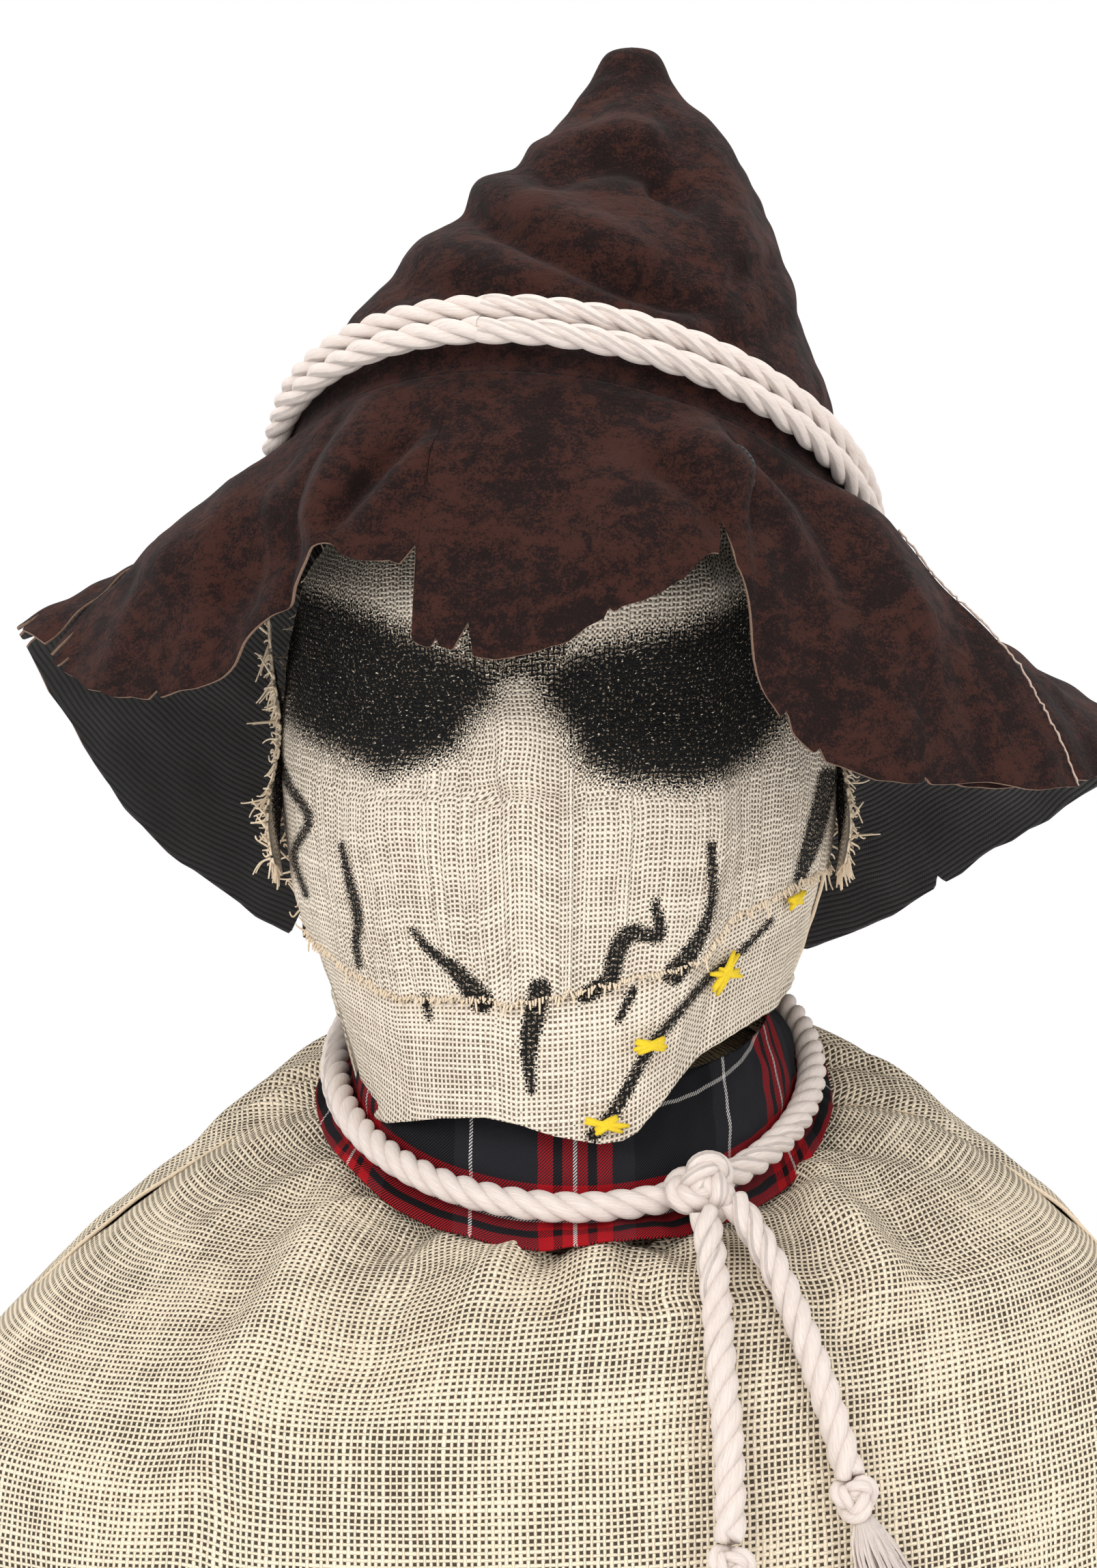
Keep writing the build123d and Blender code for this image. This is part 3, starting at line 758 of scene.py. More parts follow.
CROWN_RINGS = (
    Ring(948, 32, 15, 9, 9),
    Ring(936, 32, 14, 16, 16),
    Ring(919, 32, 12, 29, 30, 0, -0.03),
    Ring(899, 31, 10, 44, 45, 0, -0.08),
    Ring(880, 24, 8, 60, 59, 0, -0.14),
    Ring(858, 19, 6, 74, 75, -0.02, -0.22),
    Ring(832, 14, 5, 87, 88, -0.06, -0.32),
    Ring(806, 12, 4, 98, 97, -0.11, -0.42),
    Ring(783, 10.6, 3, 106, 103, *HAT_TILT),
    Ring(771, 10.6, 2, 110, 107, *HAT_TILT),
    Ring(752, 10.6, 2, 116, 113, *HAT_TILT),
)
COLLAR_RINGS = (
    Ring(580, 9.5, 0, 72, 80, 0, 0.25),
    Ring(566, 9.5, 0, 84, 93.5, 0, 0.42),
    Ring(557, 9.5, 0, 84.6, 94.2, 0, 0.45),
    Ring(551.5, 9.5, 0, 98, 107, 0, 0.45),
)


def surface(rings, share, turn, grow=0.0):
    """Points on the smooth surface through the rings. share runs from 0 at the first ring to 1 at
    the last, and turn is the angle in degrees: 0 faces -Y and 90 faces +X."""
    rings = np.array(rings, float)
    steps = np.hypot(np.diff(rings[:, 0]), np.diff(rings[:, 3:5].mean(axis=1)))
    place = np.concatenate([[0], np.cumsum(steps)]) / steps.sum()
    values = through(np.column_stack([place, rings]), np.ravel(share)).reshape(*share.shape, 7)
    z, x, y, half_x, half_y, rise_x, rise_y = np.moveaxis(values, -1, 0)
    angle = np.radians(turn)
    dx = (half_x + grow) * np.sin(angle)
    dy = -(half_y + grow) * np.cos(angle)
    return np.stack([x + dx, y + dy, z + rise_x * dx + rise_y * dy], axis=-1)


def share_at(rings, turns, height, grow=0.0):
    """For each angle, the share at which the surface comes down to height(x, y)."""
    share, turn = np.meshgrid(np.linspace(0, 1, 500), turns, indexing="ij")
    points = surface(rings, share, turn, grow)
    above = points[..., 2] - height(points[..., 0], points[..., 1])
    found = []
    for column in range(len(turns)):
        falling = np.minimum.accumulate(above[:, column])
        found.append(np.interp(0.0, -falling, share[:, 0]))
    return np.array(found)


def panel(rings, turns, rows, start=0.0, end=1.0, grow=0.0):
    """A part of the surface: start and end are its first and last share, for each angle."""
    down = np.linspace(0, 1, rows)[:, None]
    start = np.broadcast_to(start, len(turns))
    end = np.broadcast_to(end, len(turns))
    share = start[None, :] + (end - start)[None, :] * down
    turn = np.broadcast_to(turns, share.shape)
    return surface(rings, share, turn, grow)


def line_distance(x, z, line):
    """Distance to a line of points and the share of its length where the nearest place is."""
    line = np.asarray(line, float)
    best = np.full(x.shape, 1e9)
    share = np.zeros(x.shape)
    lengths = np.linalg.norm(np.diff(line, axis=0), axis=1)
    total, done = lengths.sum(), 0.0
    for (x0, z0), (x1, z1), length in zip(line[:-1], line[1:], lengths):
        t = np.clip(((x - x0) * (x1 - x0) + (z - z0) * (z1 - z0)) / length**2, 0, 1)
        away = np.hypot(x - x0 - t * (x1 - x0), z - z0 - t * (z1 - z0))
        nearer = away < best
        best = np.where(nearer, away, best)
        share = np.where(nearer, (done + t * length) / total, share)
        done += length
    return best, share


def inside(x, z, polygon):
    """Signed distance to a closed outline, positive inside it."""
    line = list(polygon) + [polygon[0]]
    away, _ = line_distance(x, z, line)
    within = np.zeros(x.shape, bool)
    for (x0, z0), (x1, z1) in zip(line[:-1], line[1:]):
        crosses = (z0 > z) != (z1 > z)
        with np.errstate(divide="ignore", invalid="ignore"):
            at = (x1 - x0) * (z - z0) / (z1 - z0) + x0
        within ^= crosses & (x < at)
    return np.where(within, away, -away)


def rounded(points, per=5):
    """A smooth line through given points."""
    points = np.asarray(points, float)
    place = np.concatenate([[0], np.cumsum(np.linalg.norm(np.diff(points, axis=0), axis=1))])
    rows = np.column_stack([place, points])
    return through(rows, np.linspace(0, place[-1], per * (len(points) - 1) + 1))


def crease(x, z, line, width, depth, taper=0.25):
    """A fold's height: negative depth makes a valley that fades towards both of its ends."""
    away, share = line_distance(x, z, rounded(line))
    ends = smoothstep(share / taper) * smoothstep((1 - share) / taper)
    return depth * ends * np.exp(-((away / width) ** 2))


def ray_from_eye(points):
    """Where each point appears from the front, as its x and z on the plane y = 0."""
    spread = EYE_DISTANCE / (EYE_DISTANCE + points[..., 1])
    return points[..., 0] * spread, EYE_HEIGHT + (points[..., 2] - EYE_HEIGHT) * spread


def wear(piece, body, slot, *nodes):
    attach(piece, body)
    if nodes:
        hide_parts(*nodes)
    return piece


# ---------------------------------------------------------------- the tunic and the sack in it
TUNIC_CLOTH = 1.6
TUNIC_FOLDS = (
    ([(-66, 528), (-78, 506), (-98, 468), (-120, 428), (-128, 385)], 15, 12.0),
    ([(-84, 520), (-104, 487), (-130, 452)], 11, -4.0),
    ([(-48, 518), (-54, 490), (-66, 452), (-78, 415)], 13, -4.5),
    ([(92, 526), (104, 508), (122, 486), (140, 462)], 12, 10.5),
    ([(78, 520), (92, 492), (112, 462), (122, 430)], 12, -4.0),
    ([(112, 524), (134, 500), (160, 478)], 11, -3.5),
    ([(18, 512), (20, 490), (17, 455)], 9, 6.5),
    ([(4, 510), (4, 488), (-2, 460)], 7, -3.5),
    ([(32, 508), (36, 486), (42, 458)], 7, -3.0),
    ([(-22, 504), (-24, 480), (-34, 430)], 11, 6.0),
    ([(-60, 400), (-20, 372), (40, 366), (95, 385)], 26, -2.5),
    ([(-150, 400), (-165, 330), (-160, 240)], 22, 7.0),
    ([(150, 420), (172, 340), (168, 240)], 22, 7.0),
    ([(-60, 330), (-70, 230), (-66, 120)], 24, 8.0),
    ([(-10, 320), (-4, 220), (-8, 110)], 20, -4.5),
    ([(60, 310), (72, 230), (66, 120)], 24, 8.0),
    ([(118, 320), (124, 210), (120, 110)], 18, -4.5),
    ([(-118, 320), (-122, 210), (-126, 110)], 18, -4.5),
)


def tunic_shape(grid, turns, facing):
    """Pleats drawn in at the neck and soft folds that hang from the shoulders."""
    rows = np.linspace(0, 1, grid.shape[0])[:, None]
    turn = np.radians(turns)[None, :]
    drawn_in = np.exp(-((rows / 0.075) ** 1.2))
    pleats = np.cos(23 * turn + 1.7 * np.sin(3 * turn)) + 0.5 * np.cos(41 * turn + 2.0)
    height = 2.3 * pleats * drawn_in * smoothstep(rows / 0.012)
    x, z = ray_from_eye(grid)
    for line, width, depth in TUNIC_FOLDS:
        mirrored = [(place * facing, level) for place, level in line]
        height = height + crease(x, z, mirrored, width, depth, 0.3)
    height = height + 2.2 * ripple(grid * [1, 1, 0.45], 120, 21 + facing) * smoothstep(rows / 0.1)
    height = height + 0.5 * ripple(grid, 26, 31 + facing)
    hem = smoothstep((rows - 0.9) / 0.1)
    height = height + hem * 3.0 * np.sin(9 * turn + 1.0)
    return grid + outward(grid, False) * height[..., None]


def make_tunic():
    columns, rows = 260, 250
    for side, first, facing in (("front", -90, 1), ("back", 90, -1)):
        turns = np.linspace(first, first + 180, columns)
        grid = panel(TUNIC_RINGS, turns, rows)
        grid = tunic_shape(grid, turns, facing)
        stuff = ("tunic", "tunic", "yarn")
        piece = cloth(f"tunic_{side}_burlap", grid, TUNIC_CLOTH, stuff, row=60, column=columns // 2)
        wear(piece, "figure", "tunic_burlap", f"tunic_{side}")
        fringe = wear(hem_fringe(f"tunic_{side}_hem", grid), "figure", "tunic_burlap")


def hem_fringe(name, grid):
    """Loose yarn ends along a cut hem."""
    draw = np.random.default_rng(len(name))
    edge = evenly(grid[-1] - outward(grid[-3:], False)[-1] * 0.8, 2.6)
    lines, radii = [], []
    share = np.linspace(0, 1, 5)[:, None]
    for place in edge:
        length = draw.uniform(1.5, 6.5)
        end = place + [draw.normal(0, 0.9), draw.normal(0, 0.9), -length]
        bow = [draw.normal(0, 0.5), draw.normal(0, 0.5), 0]
        lines.append(place + (end - place) * share + np.sin(share * math.pi) * bow + [0, 0, 1.2])
        radii.append(np.full(5, draw.uniform(0.35, 0.6)))
    return tubes(name, lines, radii, 5, "yarn")


SACK_INSET = 8.0
SACK_FLOOR = 99.0
SACK_BOTTOM_RINGS = (Ring(101.5, 0, 0, 258, 168), Ring(100, 0, 0, 236, 150), Ring(100, 0, 0, 1, 1))


def make_sack():
    """The stuffed sack that fills the tunic."""
    turns = np.linspace(0, 360, 220, endpoint=False)
    side = [ring._replace(z=ring.z - 5) for ring in TUNIC_RINGS[:-1]]
    top = Ring(544, 9.5, 0, 2, 2, 0, 0.45)
    rings = [top, *side[:1], *side[2:], Ring(112, 0, 0, 267, 178)]
    grid = panel(rings, turns, 200, grow=-SACK_INSET)
    bottom = panel(SACK_BOTTOM_RINGS, turns, 24)
    grid = np.concatenate([grid, bottom])
    puckers = 1.2 * ripple(grid, 34, 4) - 1.2
    grid = grid + outward(grid) * puckers[..., None]
    grid[..., 2] = np.maximum(grid[..., 2], SACK_FLOOR)
    piece = solid_of("sack_filling", grid, "tunic")
    wear(piece, "figure", "stuffing", "body_sack")


# ---------------------------------------------------------------- collar, neck rope and its knot
COLLAR_CLOTH = 1.3


def make_collar():
    turns = np.linspace(180, 540, 520, endpoint=False)
    grid = panel(COLLAR_RINGS, turns, 60)
    turn = np.radians(turns)[None, :]
    rows = np.linspace(0, 1, 60)[:, None]
    flare = smoothstep((rows - 0.62) / 0.38)
    height = flare * (2.0 * np.sin(5 * turn + 0.6) + 1.2 * np.sin(11 * turn))
    stand = smoothstep((0.5 - rows) / 0.5)
    height = height + stand * (1.6 * np.sin(4 * turn + 2.0) + 0.8 * np.sin(9 * turn))
    height = height + 0.5 * ripple(grid, 14, 8)
    grid = grid + outward(grid) * height[..., None]
    stuff = ("plaid", "plaid", "plaid")
    piece = cloth("collar_plaid", grid, COLLAR_CLOTH, stuff, closed=True, row=30, column=260)
    wear(piece, "figure", "plaid_twill", "plaid_collar")


NECK_OVAL = Oval(9.5, 0, 561.5, 0, 0.45, 109.7, 90.6)
BAND_LOW_OVAL = Oval(10.4, -1.5, 767.6, -0.15, -0.48, 131.5, 114.0)
BAND_HIGH_OVAL = Oval(10.8, 1, 778.4, -0.15, -0.48, 127.0, 112.2)
BAND_KNOT = (10.6, 124, 720)


def make_ropes():
    wear(rope("rope_neck", oval_line(NECK_OVAL), closed=True), "figure", "cotton_rope", "neck_rope")
    tie = knot("rope_neck_knot", NECK_KNOT, 9.2, 0.92, (80, 35), (1.05, 1.0, 0.8))
    wear(tie, "figure", "cotton_rope", "neck_knot")
    for name, oval, phase, node in (
        ("rope_band_low", BAND_LOW_OVAL, 1.0, "hat_band_lower"),
        ("rope_band_high", BAND_HIGH_OVAL, 2.4, "hat_band_upper"),
    ):
        band = rope(name, oval_line(oval), closed=True, phase=phase, scale=BAND_SCALE, lay=BAND_LAY)
        wear(band, "hat", "cotton_rope", node)
    back = knot("rope_band_knot", BAND_KNOT, 8.0, 0.85, (95, 10), (1.0, 1.0, 0.8))
    wear(back, "hat", "cotton_rope", "hat_band_knot")


# ---------------------------------------------------------------- the mask
MASK_CLOTH = 1.3
PAINT_BACK_Y = 25
SOAKED_THROUGH = 0.55
EYE_SPREAD = 1.5
EYE_SOFTNESS = 15.0
BRIDGE = [(-32, 726), (8, 726), (5, 700), (-3, 703), (-10, 706), (-17, 703), (-28, 698)]
EYES = (
    [(-104, 748), (-84, 737), (-57, 724), (-39, 716), (-25, 712), (-19, 705), (-20, 698), (-28, 690), (-34, 680),
     (-47, 675), (-59, 671), (-72, 677), (-86, 683), (-98, 692)],
    [(50, 723), (25, 717), (8, 712), (-3, 705), (0, 696), (9, 685), (13, 674), (25, 669), (50, 667), (63, 670),
     (76, 678), (86, 690), (88, 712), (85, 738), (73, 737), (62, 729)],
)
# Each brushed line is its points, then its width at the start, the middle and the end.
STROKES = (
    ([(-75, 645), (-72, 631), (-69, 617), (-70, 609), (-69, 601)], 2.4, 4.4, 2.6),
    ([(-49, 615), (-44, 609), (-34, 601), (-24, 590)], 2.2, 4.6, 9.0),
    ([(-44, 590), (-43, 583)], 3.0, 3.0, 2.0),
    ([(-3, 594), (-5, 585), (-7, 574), (-6, 558)], 8.0, 7.0, 2.6),
    ([(38, 625), (39, 613), (29, 614), (24, 607), (22, 598), (13, 592)], 3.0, 6.6, 6.0),
    ([(58, 645), (58, 622), (55, 614), (51, 607), (45, 599)], 3.4, 3.6, 8.0),
    ([(30, 593), (25, 583)], 3.5, 3.0, 2.4),
    ([(81, 617), (67, 604), (60, 599), (45, 583), (38, 575), (20, 546), (16, 542)], 2.6, 3.6, 5.0),
    ([(104, 669), (100, 654), (92, 632)], 9.0, 9.0, 5.0),
    ([(-105, 685), (-97, 667), (-88, 654), (-95, 641), (-90, 626)], 4.0, 4.0, 3.0),
)
FACE_SEAM = ((-120, 618), (-95, 612), (-70, 596), (-60, 590), (-47, 589), (-22, 589), (-14, 587), (0, 590),
             (10, 592), (54, 602), (65, 617), (75, 622), (93, 630), (120, 640))
JAW_HEM = ((-120, 560), (-84, 549), (-67, 544), (-58, 543), (-39, 547), (-22, 548), (-10, 546), (2, 542),
           (18, 539), (26, 540), (31, 543), (37, 550), (42, 556), (54, 570), (65, 576), (82, 584), (94, 596),
           (104, 606), (120, 612))
STITCHES = (
    (64, 599, ((-3, -6), (3, 7)), ((-4, 1), (5, -1))),
    (37, 574, ((-6, 2), (5, -1)), ((-6, -1.5), (5, 1.5))),
    (20, 546, ((-6, 2.5), (6, -2)), ((-4, -2), (4, 2.5))),
    (91, 624, ((-3, -2), (2, 3)), ((-2, 1), (2, -1))),
)


def face_relief(x, z):
    """How far the face stands out: brow, eye hollows, nose, cheeks and the fold under the nose."""
    height = 13.0 * np.exp(-(((x + 10) / 13) ** 2) - ((z - 682) / 18) ** 2)
    for eye_x, eye_z in ((-55, 700), (38, 697)):
        height -= 6.5 * np.exp(-(((x - eye_x) / 25) ** 2) - ((z - eye_z) / 16) ** 2)
    height += 3.5 * np.exp(-((z - 732 - 0.0012 * x * x) / 13) ** 2)
    height += 4.0 * np.exp(-(((x + 54) / 24) ** 2) - ((z - 650) / 22) ** 2)
    height += 4.0 * np.exp(-(((x - 48) / 24) ** 2) - ((z - 646) / 22) ** 2)
    height += crease(x, z, [(-34, 668), (-12, 660), (10, 662), (26, 668)], 5.0, -4.6)
    height += crease(x, z, [(-60, 662), (-42, 668), (-28, 672)], 4.0, -1.2)
    height += crease(x, z, [(62, 662), (46, 664), (30, 666)], 4.0, -1.2)
    height -= 2.2 * np.exp(-(((x + 6) / 46) ** 2) - ((z - 600) / 12) ** 2)
    return height


def painted(x, z):
    """Paint on the mask, from 0 for bare cloth to 1, soft at its edges."""
    paint = np.zeros(x.shape)
    for eye in EYES:
        paint = np.maximum(paint, np.clip(0.5 + (inside(x, z, eye) + EYE_SPREAD) / EYE_SOFTNESS, 0, 1))
    paint = np.maximum(paint, np.clip(0.5 + inside(x, z, BRIDGE) / 9, 0, 0.66))
    for line, first, middle, last in STROKES:
        away, share = line_distance(x, z, rounded(line))
        width = np.interp(share, [0, 0.5, 1], [first, middle, last])
        paint = np.maximum(paint, np.clip(0.5 + (width / 2 - away) / 3.0, 0, 0.84))
    return paint


def set_paint(piece, outer, inner):
    """Paint on the cloth's outer and inner faces, for the material to read."""
    values = np.concatenate([outer.ravel(), inner.ravel()])
    layer = piece.data.attributes.new("paint", "FLOAT", "POINT")
    layer.data.foreach_set("value", values.astype(np.float32))


def add_paint(piece, grid):
    paint = painted(grid[..., 0], grid[..., 2]) * (grid[..., 1] < PAINT_BACK_Y)
    set_paint(piece, paint, SOAKED_THROUGH * paint)


def frayed(values, amount, seed, step=2):
    """A ragged cut: each few columns end a little higher or lower."""
    draw = np.random.default_rng(seed)
    cells = draw.normal(0, amount, len(values) // step + 2)
    return values + np.repeat(cells, step)[: len(values)]


def span_neck(piece, *nodes):
    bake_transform(piece)
    if nodes:
        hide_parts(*nodes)
    return piece


def make_mask():
    side = 92.0
    seam_x, seam_z = np.array(FACE_SEAM).T
    hem_x, hem_z = np.array(JAW_HEM).T
    rings = (Ring(804, 4, 0, 1, 1), *MASK_RINGS)

    def seam(x, y):
        return np.interp(x, seam_x, seam_z)

    def hem(x, y):
        front = np.interp(x, hem_x, hem_z)
        return np.where(y < -20, front, np.maximum(front, 588 + 0.44 * y))

    def lower_hem(x, y):
        return 589.0 + 0.44 * y

    turns = np.linspace(-side, side, 420)
    end = frayed(share_at(rings, turns, seam, 1.0), 0.0022, 5)
    face = panel(rings, turns, 270, 0.0, end, grow=1.0)
    face = mask_folds(face)
    piece = cloth("mask_face_burlap", face, MASK_CLOTH, ("mask", "mask", "yarn"), row=130, column=210)
    add_paint(piece, face)
    wear(piece, "head", "mask_burlap", "mask_face")
    fringe = wear(edge_fringe("mask_face_fringe", face[-1], 0.8, 1.3, 6), "head", "mask_burlap")
    sides = [
        wear(side_fringe(f"mask_face_side_{name}", face[75:, column], out), "head", "mask_burlap")
        for name, column, out in (("left", 0, -1), ("right", -1, 1))
    ]
    stitched = span_neck(make_stitches())

    start = share_at(rings, turns, lambda x, y: seam(x, y) + 9.0, -1.0)
    end = share_at(rings, turns, hem, -1.0)
    jaw = panel(rings, turns, 90, start, end, grow=-1.0)
    jaw = mask_folds(jaw)
    roll = smoothstep((np.linspace(0, 1, 90) - 0.93) / 0.05)[:, None]
    jaw = jaw + outward(jaw, False) * (1.3 * roll)[..., None]
    piece = cloth("mask_jaw_burlap", jaw, MASK_CLOTH, ("mask", "mask", "yarn"), row=30, column=210)
    add_paint(piece, jaw)
    span_neck(piece, "mask_jaw")

    turns = np.linspace(side - 3, 360 - side + 3, 220)
    end = share_at(rings, turns, lower_hem, -0.6)
    back = panel(rings, turns, 160, 0.0, end, grow=-0.6)
    back = back + outward(back, False) * (1.4 * ripple(back, 60, 12) + 0.4 * ripple(back, 18, 13))[..., None]
    piece = cloth("mask_back_burlap", back, MASK_CLOTH, ("mask", "mask", "yarn"), row=80, column=110)
    add_paint(piece, back)
    wear(piece, "head", "mask_burlap", "mask_back")


def mask_folds(grid):
    height = face_relief(grid[..., 0], grid[..., 2]) * smoothstep(-grid[..., 1] / 40)
    height = height + 0.5 * ripple(grid, 40, 14) + 0.22 * ripple(grid, 12, 15)
    return grid + outward(grid, False) * height[..., None]


def edge_fringe(name, edge, shortest, usual, seed):
    """Short yarn ends that hang from a cut edge of the mask."""
    draw = np.random.default_rng(seed)
    places = evenly(edge, 1.3)
    share = np.linspace(0, 1, 5)[:, None]
    lines, radii = [], []
    for place in places:
        length = shortest + draw.exponential(usual)
        length = min(length, 7.0)
        out = np.array([place[0] / 100, -0.9, 0.0]) * draw.uniform(0.1, 1.1)
        end = place + [draw.normal(0, 0.6), 0, -length] + out
        lines.append(place + out * 0.5 + (end - place) * share + [0, 0, 1.4])
        radii.append(np.linspace(0.5, 0.28, 5))
    return tubes(name, lines, radii, 5, "yarn")


def side_fringe(name, edge, out):
    """Loose yarns that curl off the mask's cut side."""
    draw = np.random.default_rng(9 + out)
    share = np.linspace(0, 1, 9)[:, None]
    lines, radii = [], []
    for place in evenly(edge, 3.0):
        length = 2.0 + draw.exponential(3.2)
        length = min(length, 12)
        along = np.array([out * draw.uniform(0.4, 1.0), draw.normal(0, 0.5), draw.normal(-0.4, 0.7)])
        curl = np.array([draw.normal(0, 1.2), draw.normal(0, 1.2), draw.normal(0, 1.6)])
        lines.append(place + along * length * share + curl * np.sin(share * 3.0) * share)
        radii.append(np.linspace(0.5, 0.25, 9))
    return tubes(name, lines, radii, 5, "yarn")


def on_mask(x, z, lift):
    """The point of the mask's front at this x and z."""
    rings = np.array(MASK_RINGS)[::-1]
    centre_x, centre_y, half_x, half_y = (np.interp(z, rings[:, 0], rings[:, k]) for k in (1, 2, 3, 4))
    half_x, half_y = half_x + lift, half_y + lift
    inside_x = np.clip((x - centre_x) / half_x, -0.999, 0.999)
    return np.stack([x, centre_y - half_y * np.sqrt(1 - inside_x**2), z], axis=-1)


def make_stitches():
    draw = np.random.default_rng(17)
    lines, radii = [], []
    share = np.linspace(0, 1, 9)
    for x, z, *strokes in STITCHES:
        for (x0, z0), (x1, z1) in strokes:
            for _ in range(4):
                shift = draw.normal(0, 0.9, 4)
                sx = x + x0 + shift[0] + (x1 + shift[1] - x0 - shift[0]) * share
                sz = z + z0 + shift[2] + (z1 + shift[3] - z0 - shift[2]) * share
                lift = 2.2 + 1.6 * np.sin(share * math.pi)
                lines.append(on_mask(sx, sz, lift + face_relief(sx, sz)))
                radii.append(0.7 + 0.5 * np.sin(share * math.pi))
    return tubes("mask_stitches", lines, radii, 7, "stitch")


def make_ear_strips():
    """A cut strip of the mask's cloth that hangs free at each side of the face."""
    for side, out in (("left", -1), ("right", 1)):
        down = np.linspace(0, 1, 110)[:, None]
        wide = np.linspace(-1, 1, 30)[None, :] * out
        draw = np.random.default_rng(30 + out)
        ragged = 1 + 0.10 * draw.normal(size=(110, 1)) * np.abs(wide) ** 6
        y = -16 + wide * ragged * (14 - 3 * down + 1.6 * np.sin(down * 9)) + 4 * np.sin(down * 4.4)
        z = 729 - 94 * down + 2.5 * np.sin(wide * 3 + down * 5)
        x = 4 + out * (108.5 - 3 * down + 1.9 * np.sin(down * 8 + 1) + 1.6 * np.sin(wide * 2.4 + down * 5))
        grid = np.stack([x + 0 * y, y + 0 * z, z + 0 * y], axis=-1)
        piece = cloth(f"ear_{side}_burlap", grid, 1.0, ("mask", "mask", "yarn"), row=0, column=15)
        paint = np.clip(0.5 + (0.5 - np.abs(wide - 0.2) + 0 * down) * 1.6 + 0.5 * np.sin(down * 11), 0, 0.9)
        set_paint(piece, paint, paint)
        loose = [
            wear(side_fringe(f"ear_{side}_{name}", grid[:, column], out), "head", "mask_burlap")
            for name, column in (("one", 0), ("other", -1))
        ]
        wear(piece, "head", "mask_burlap", f"ear_strip_{side}")
        lower = wear(edge_fringe(f"ear_{side}_fringe", grid[-1], 3.0, 4.0, 3 + out), "head", "mask_burlap")


# ---------------------------------------------------------------- the hat
HAT_CLOTH = 1.1
CROWN_CREASES = (
    # line, width, depth: each from the left to the right as seen from the front
    ([(-14, 889), (2, 896), (14, 901), (30, 903), (44, 898), (56, 888)], 4.5, -5.0),
    ([(-14, 899), (2, 907), (16, 912), (32, 913), (48, 905)], 7.0, 6.0),
    ([(36, 899), (47, 893), (58, 884)], 4.0, -4.0),
    ([(-46, 884), (-30, 883), (-14, 877), (4, 868), (24, 860), (48, 852), (74, 844)], 4.6, -6.5),
    ([(-48, 894), (-28, 893), (-10, 888), (8, 879), (28, 871), (52, 862)], 9.0, 6.5),
    ([(-68, 853), (-46, 858), (-24, 853), (0, 842), (30, 834)], 7.0, -5.0),
    ([(-70, 863), (-48, 869), (-24, 865), (2, 853)], 9.0, 4.0),
    ([(58, 930), (62, 905), (72, 880), (80, 850)], 8.0, 3.0),
    ([(22, 935), (14, 915), (8, 903)], 6.0, -2.2),
    ([(92, 868), (80, 862), (66, 862)], 5.0, -3.0),
    ([(94, 846), (78, 836), (60, 836)], 6.0, -3.0),
)
BRIM_CENTRE_X = 10.0
BRIM_GAP = 1.2
BRIM_SWELL = 8.0
FRONT_EDGE = (
    # angle, reach, height of the front brim's cut edge
    (-90, 190, 722), (-84, 197, 715), (-74.6, 189, 703), (-67, 179, 697), (-59.5, 167, 698), (-56, 161, 700),
    (-50, 156, 709), (-47.6, 156, 718), (-43.9, 153, 726), (-41.7, 150, 729), (-39.5, 154, 737),
    (-35.4, 160, 749), (-33, 158, 750), (-29, 158, 735), (-25, 158, 723), (-21.8, 158, 716), (-18, 156, 713),
    (-10, 154, 709), (-3, 152, 712),
    (5.3, 151, 725), (13.4, 149, 736), (18.6, 148, 746), (21.0, 148, 743), (23.2, 149, 728), (24.5, 150, 707),
    (27, 152, 691), (32.4, 154, 676), (36.9, 156, 670), (44.5, 161, 666), (58.4, 172, 666), (67.6, 185, 663),
    (75, 196, 667),
)
BACK_EDGE = (
    (45, 160, 667), (50, 163, 667), (75, 195, 668), (85, 214, 676), (98, 226, 682), (108, 217, 664),
    (120, 202, 642), (141, 181, 603), (160, 171, 594), (180, 165, 590), (200, 174, 597), (222, 187, 608),
    (232, 194, 628), (242, 199, 650), (256, 208, 695), (269, 214, 727), (280, 198, 716), (290, 187, 700),
)
# Cuts in the brim's edge: each is its corners as angle and depth.
FRONT_CUTS = (
    ((-31.5, 0), (-29, 9), (-25.1, 20), (-23.6, 22), (-21.5, 33), (-21.2, 0)),
    ((-16.0, 0), (-14.0, 11), (-13.3, 0)),
    ((-18.8, 0), (-18.2, 3), (-17.6, 0)),
    ((18.9, 0), (20.3, 13), (21.4, 0)),
    ((27.4, 0), (28.5, 6), (29.0, 0)),
    ((32.0, 0), (33.0, 4), (33.4, 0)),
    ((3.4, 0), (4.0, 2.5), (4.6, 0)),
    ((-62.8, 0), (-62.0, 3), (-61.4, 0)),
    ((47.3, 0), (48.0, 2.5), (48.7, 0)),
    ((-83.0, 0), (-81.8, 16), (-81.3, 0)),
    ((-80.2, 0), (-79.4, 7), (-79.1, 0)),
)
BACK_CUTS = (
    ((267.1, 0), (268.0, 16), (268.7, 0)),
    ((264.8, 0), (265.5, 9), (266.0, 0)),
    ((270.9, 0), (271.5, 12), (272.2, 0)),
    ((218.0, 0), (219.0, 14), (219.6, 0)),
    ((214.8, 0), (216.0, 22), (216.6, 0)),
    ((211.0, 0), (212.5, 18), (213.6, 0)),
    ((208.2, 0), (209.0, 24), (209.8, 0)),
    ((202.8, 0), (204.0, 12), (205.2, 0)),
    ((179.2, 0), (180.0, 8), (180.8, 0)),
    ((149.1, 0), (150.0, 6), (150.9, 0)),
    ((127.4, 0), (128.0, 5), (128.7, 0)),
    ((100.2, 0), (101.0, 5), (101.8, 0)),
)


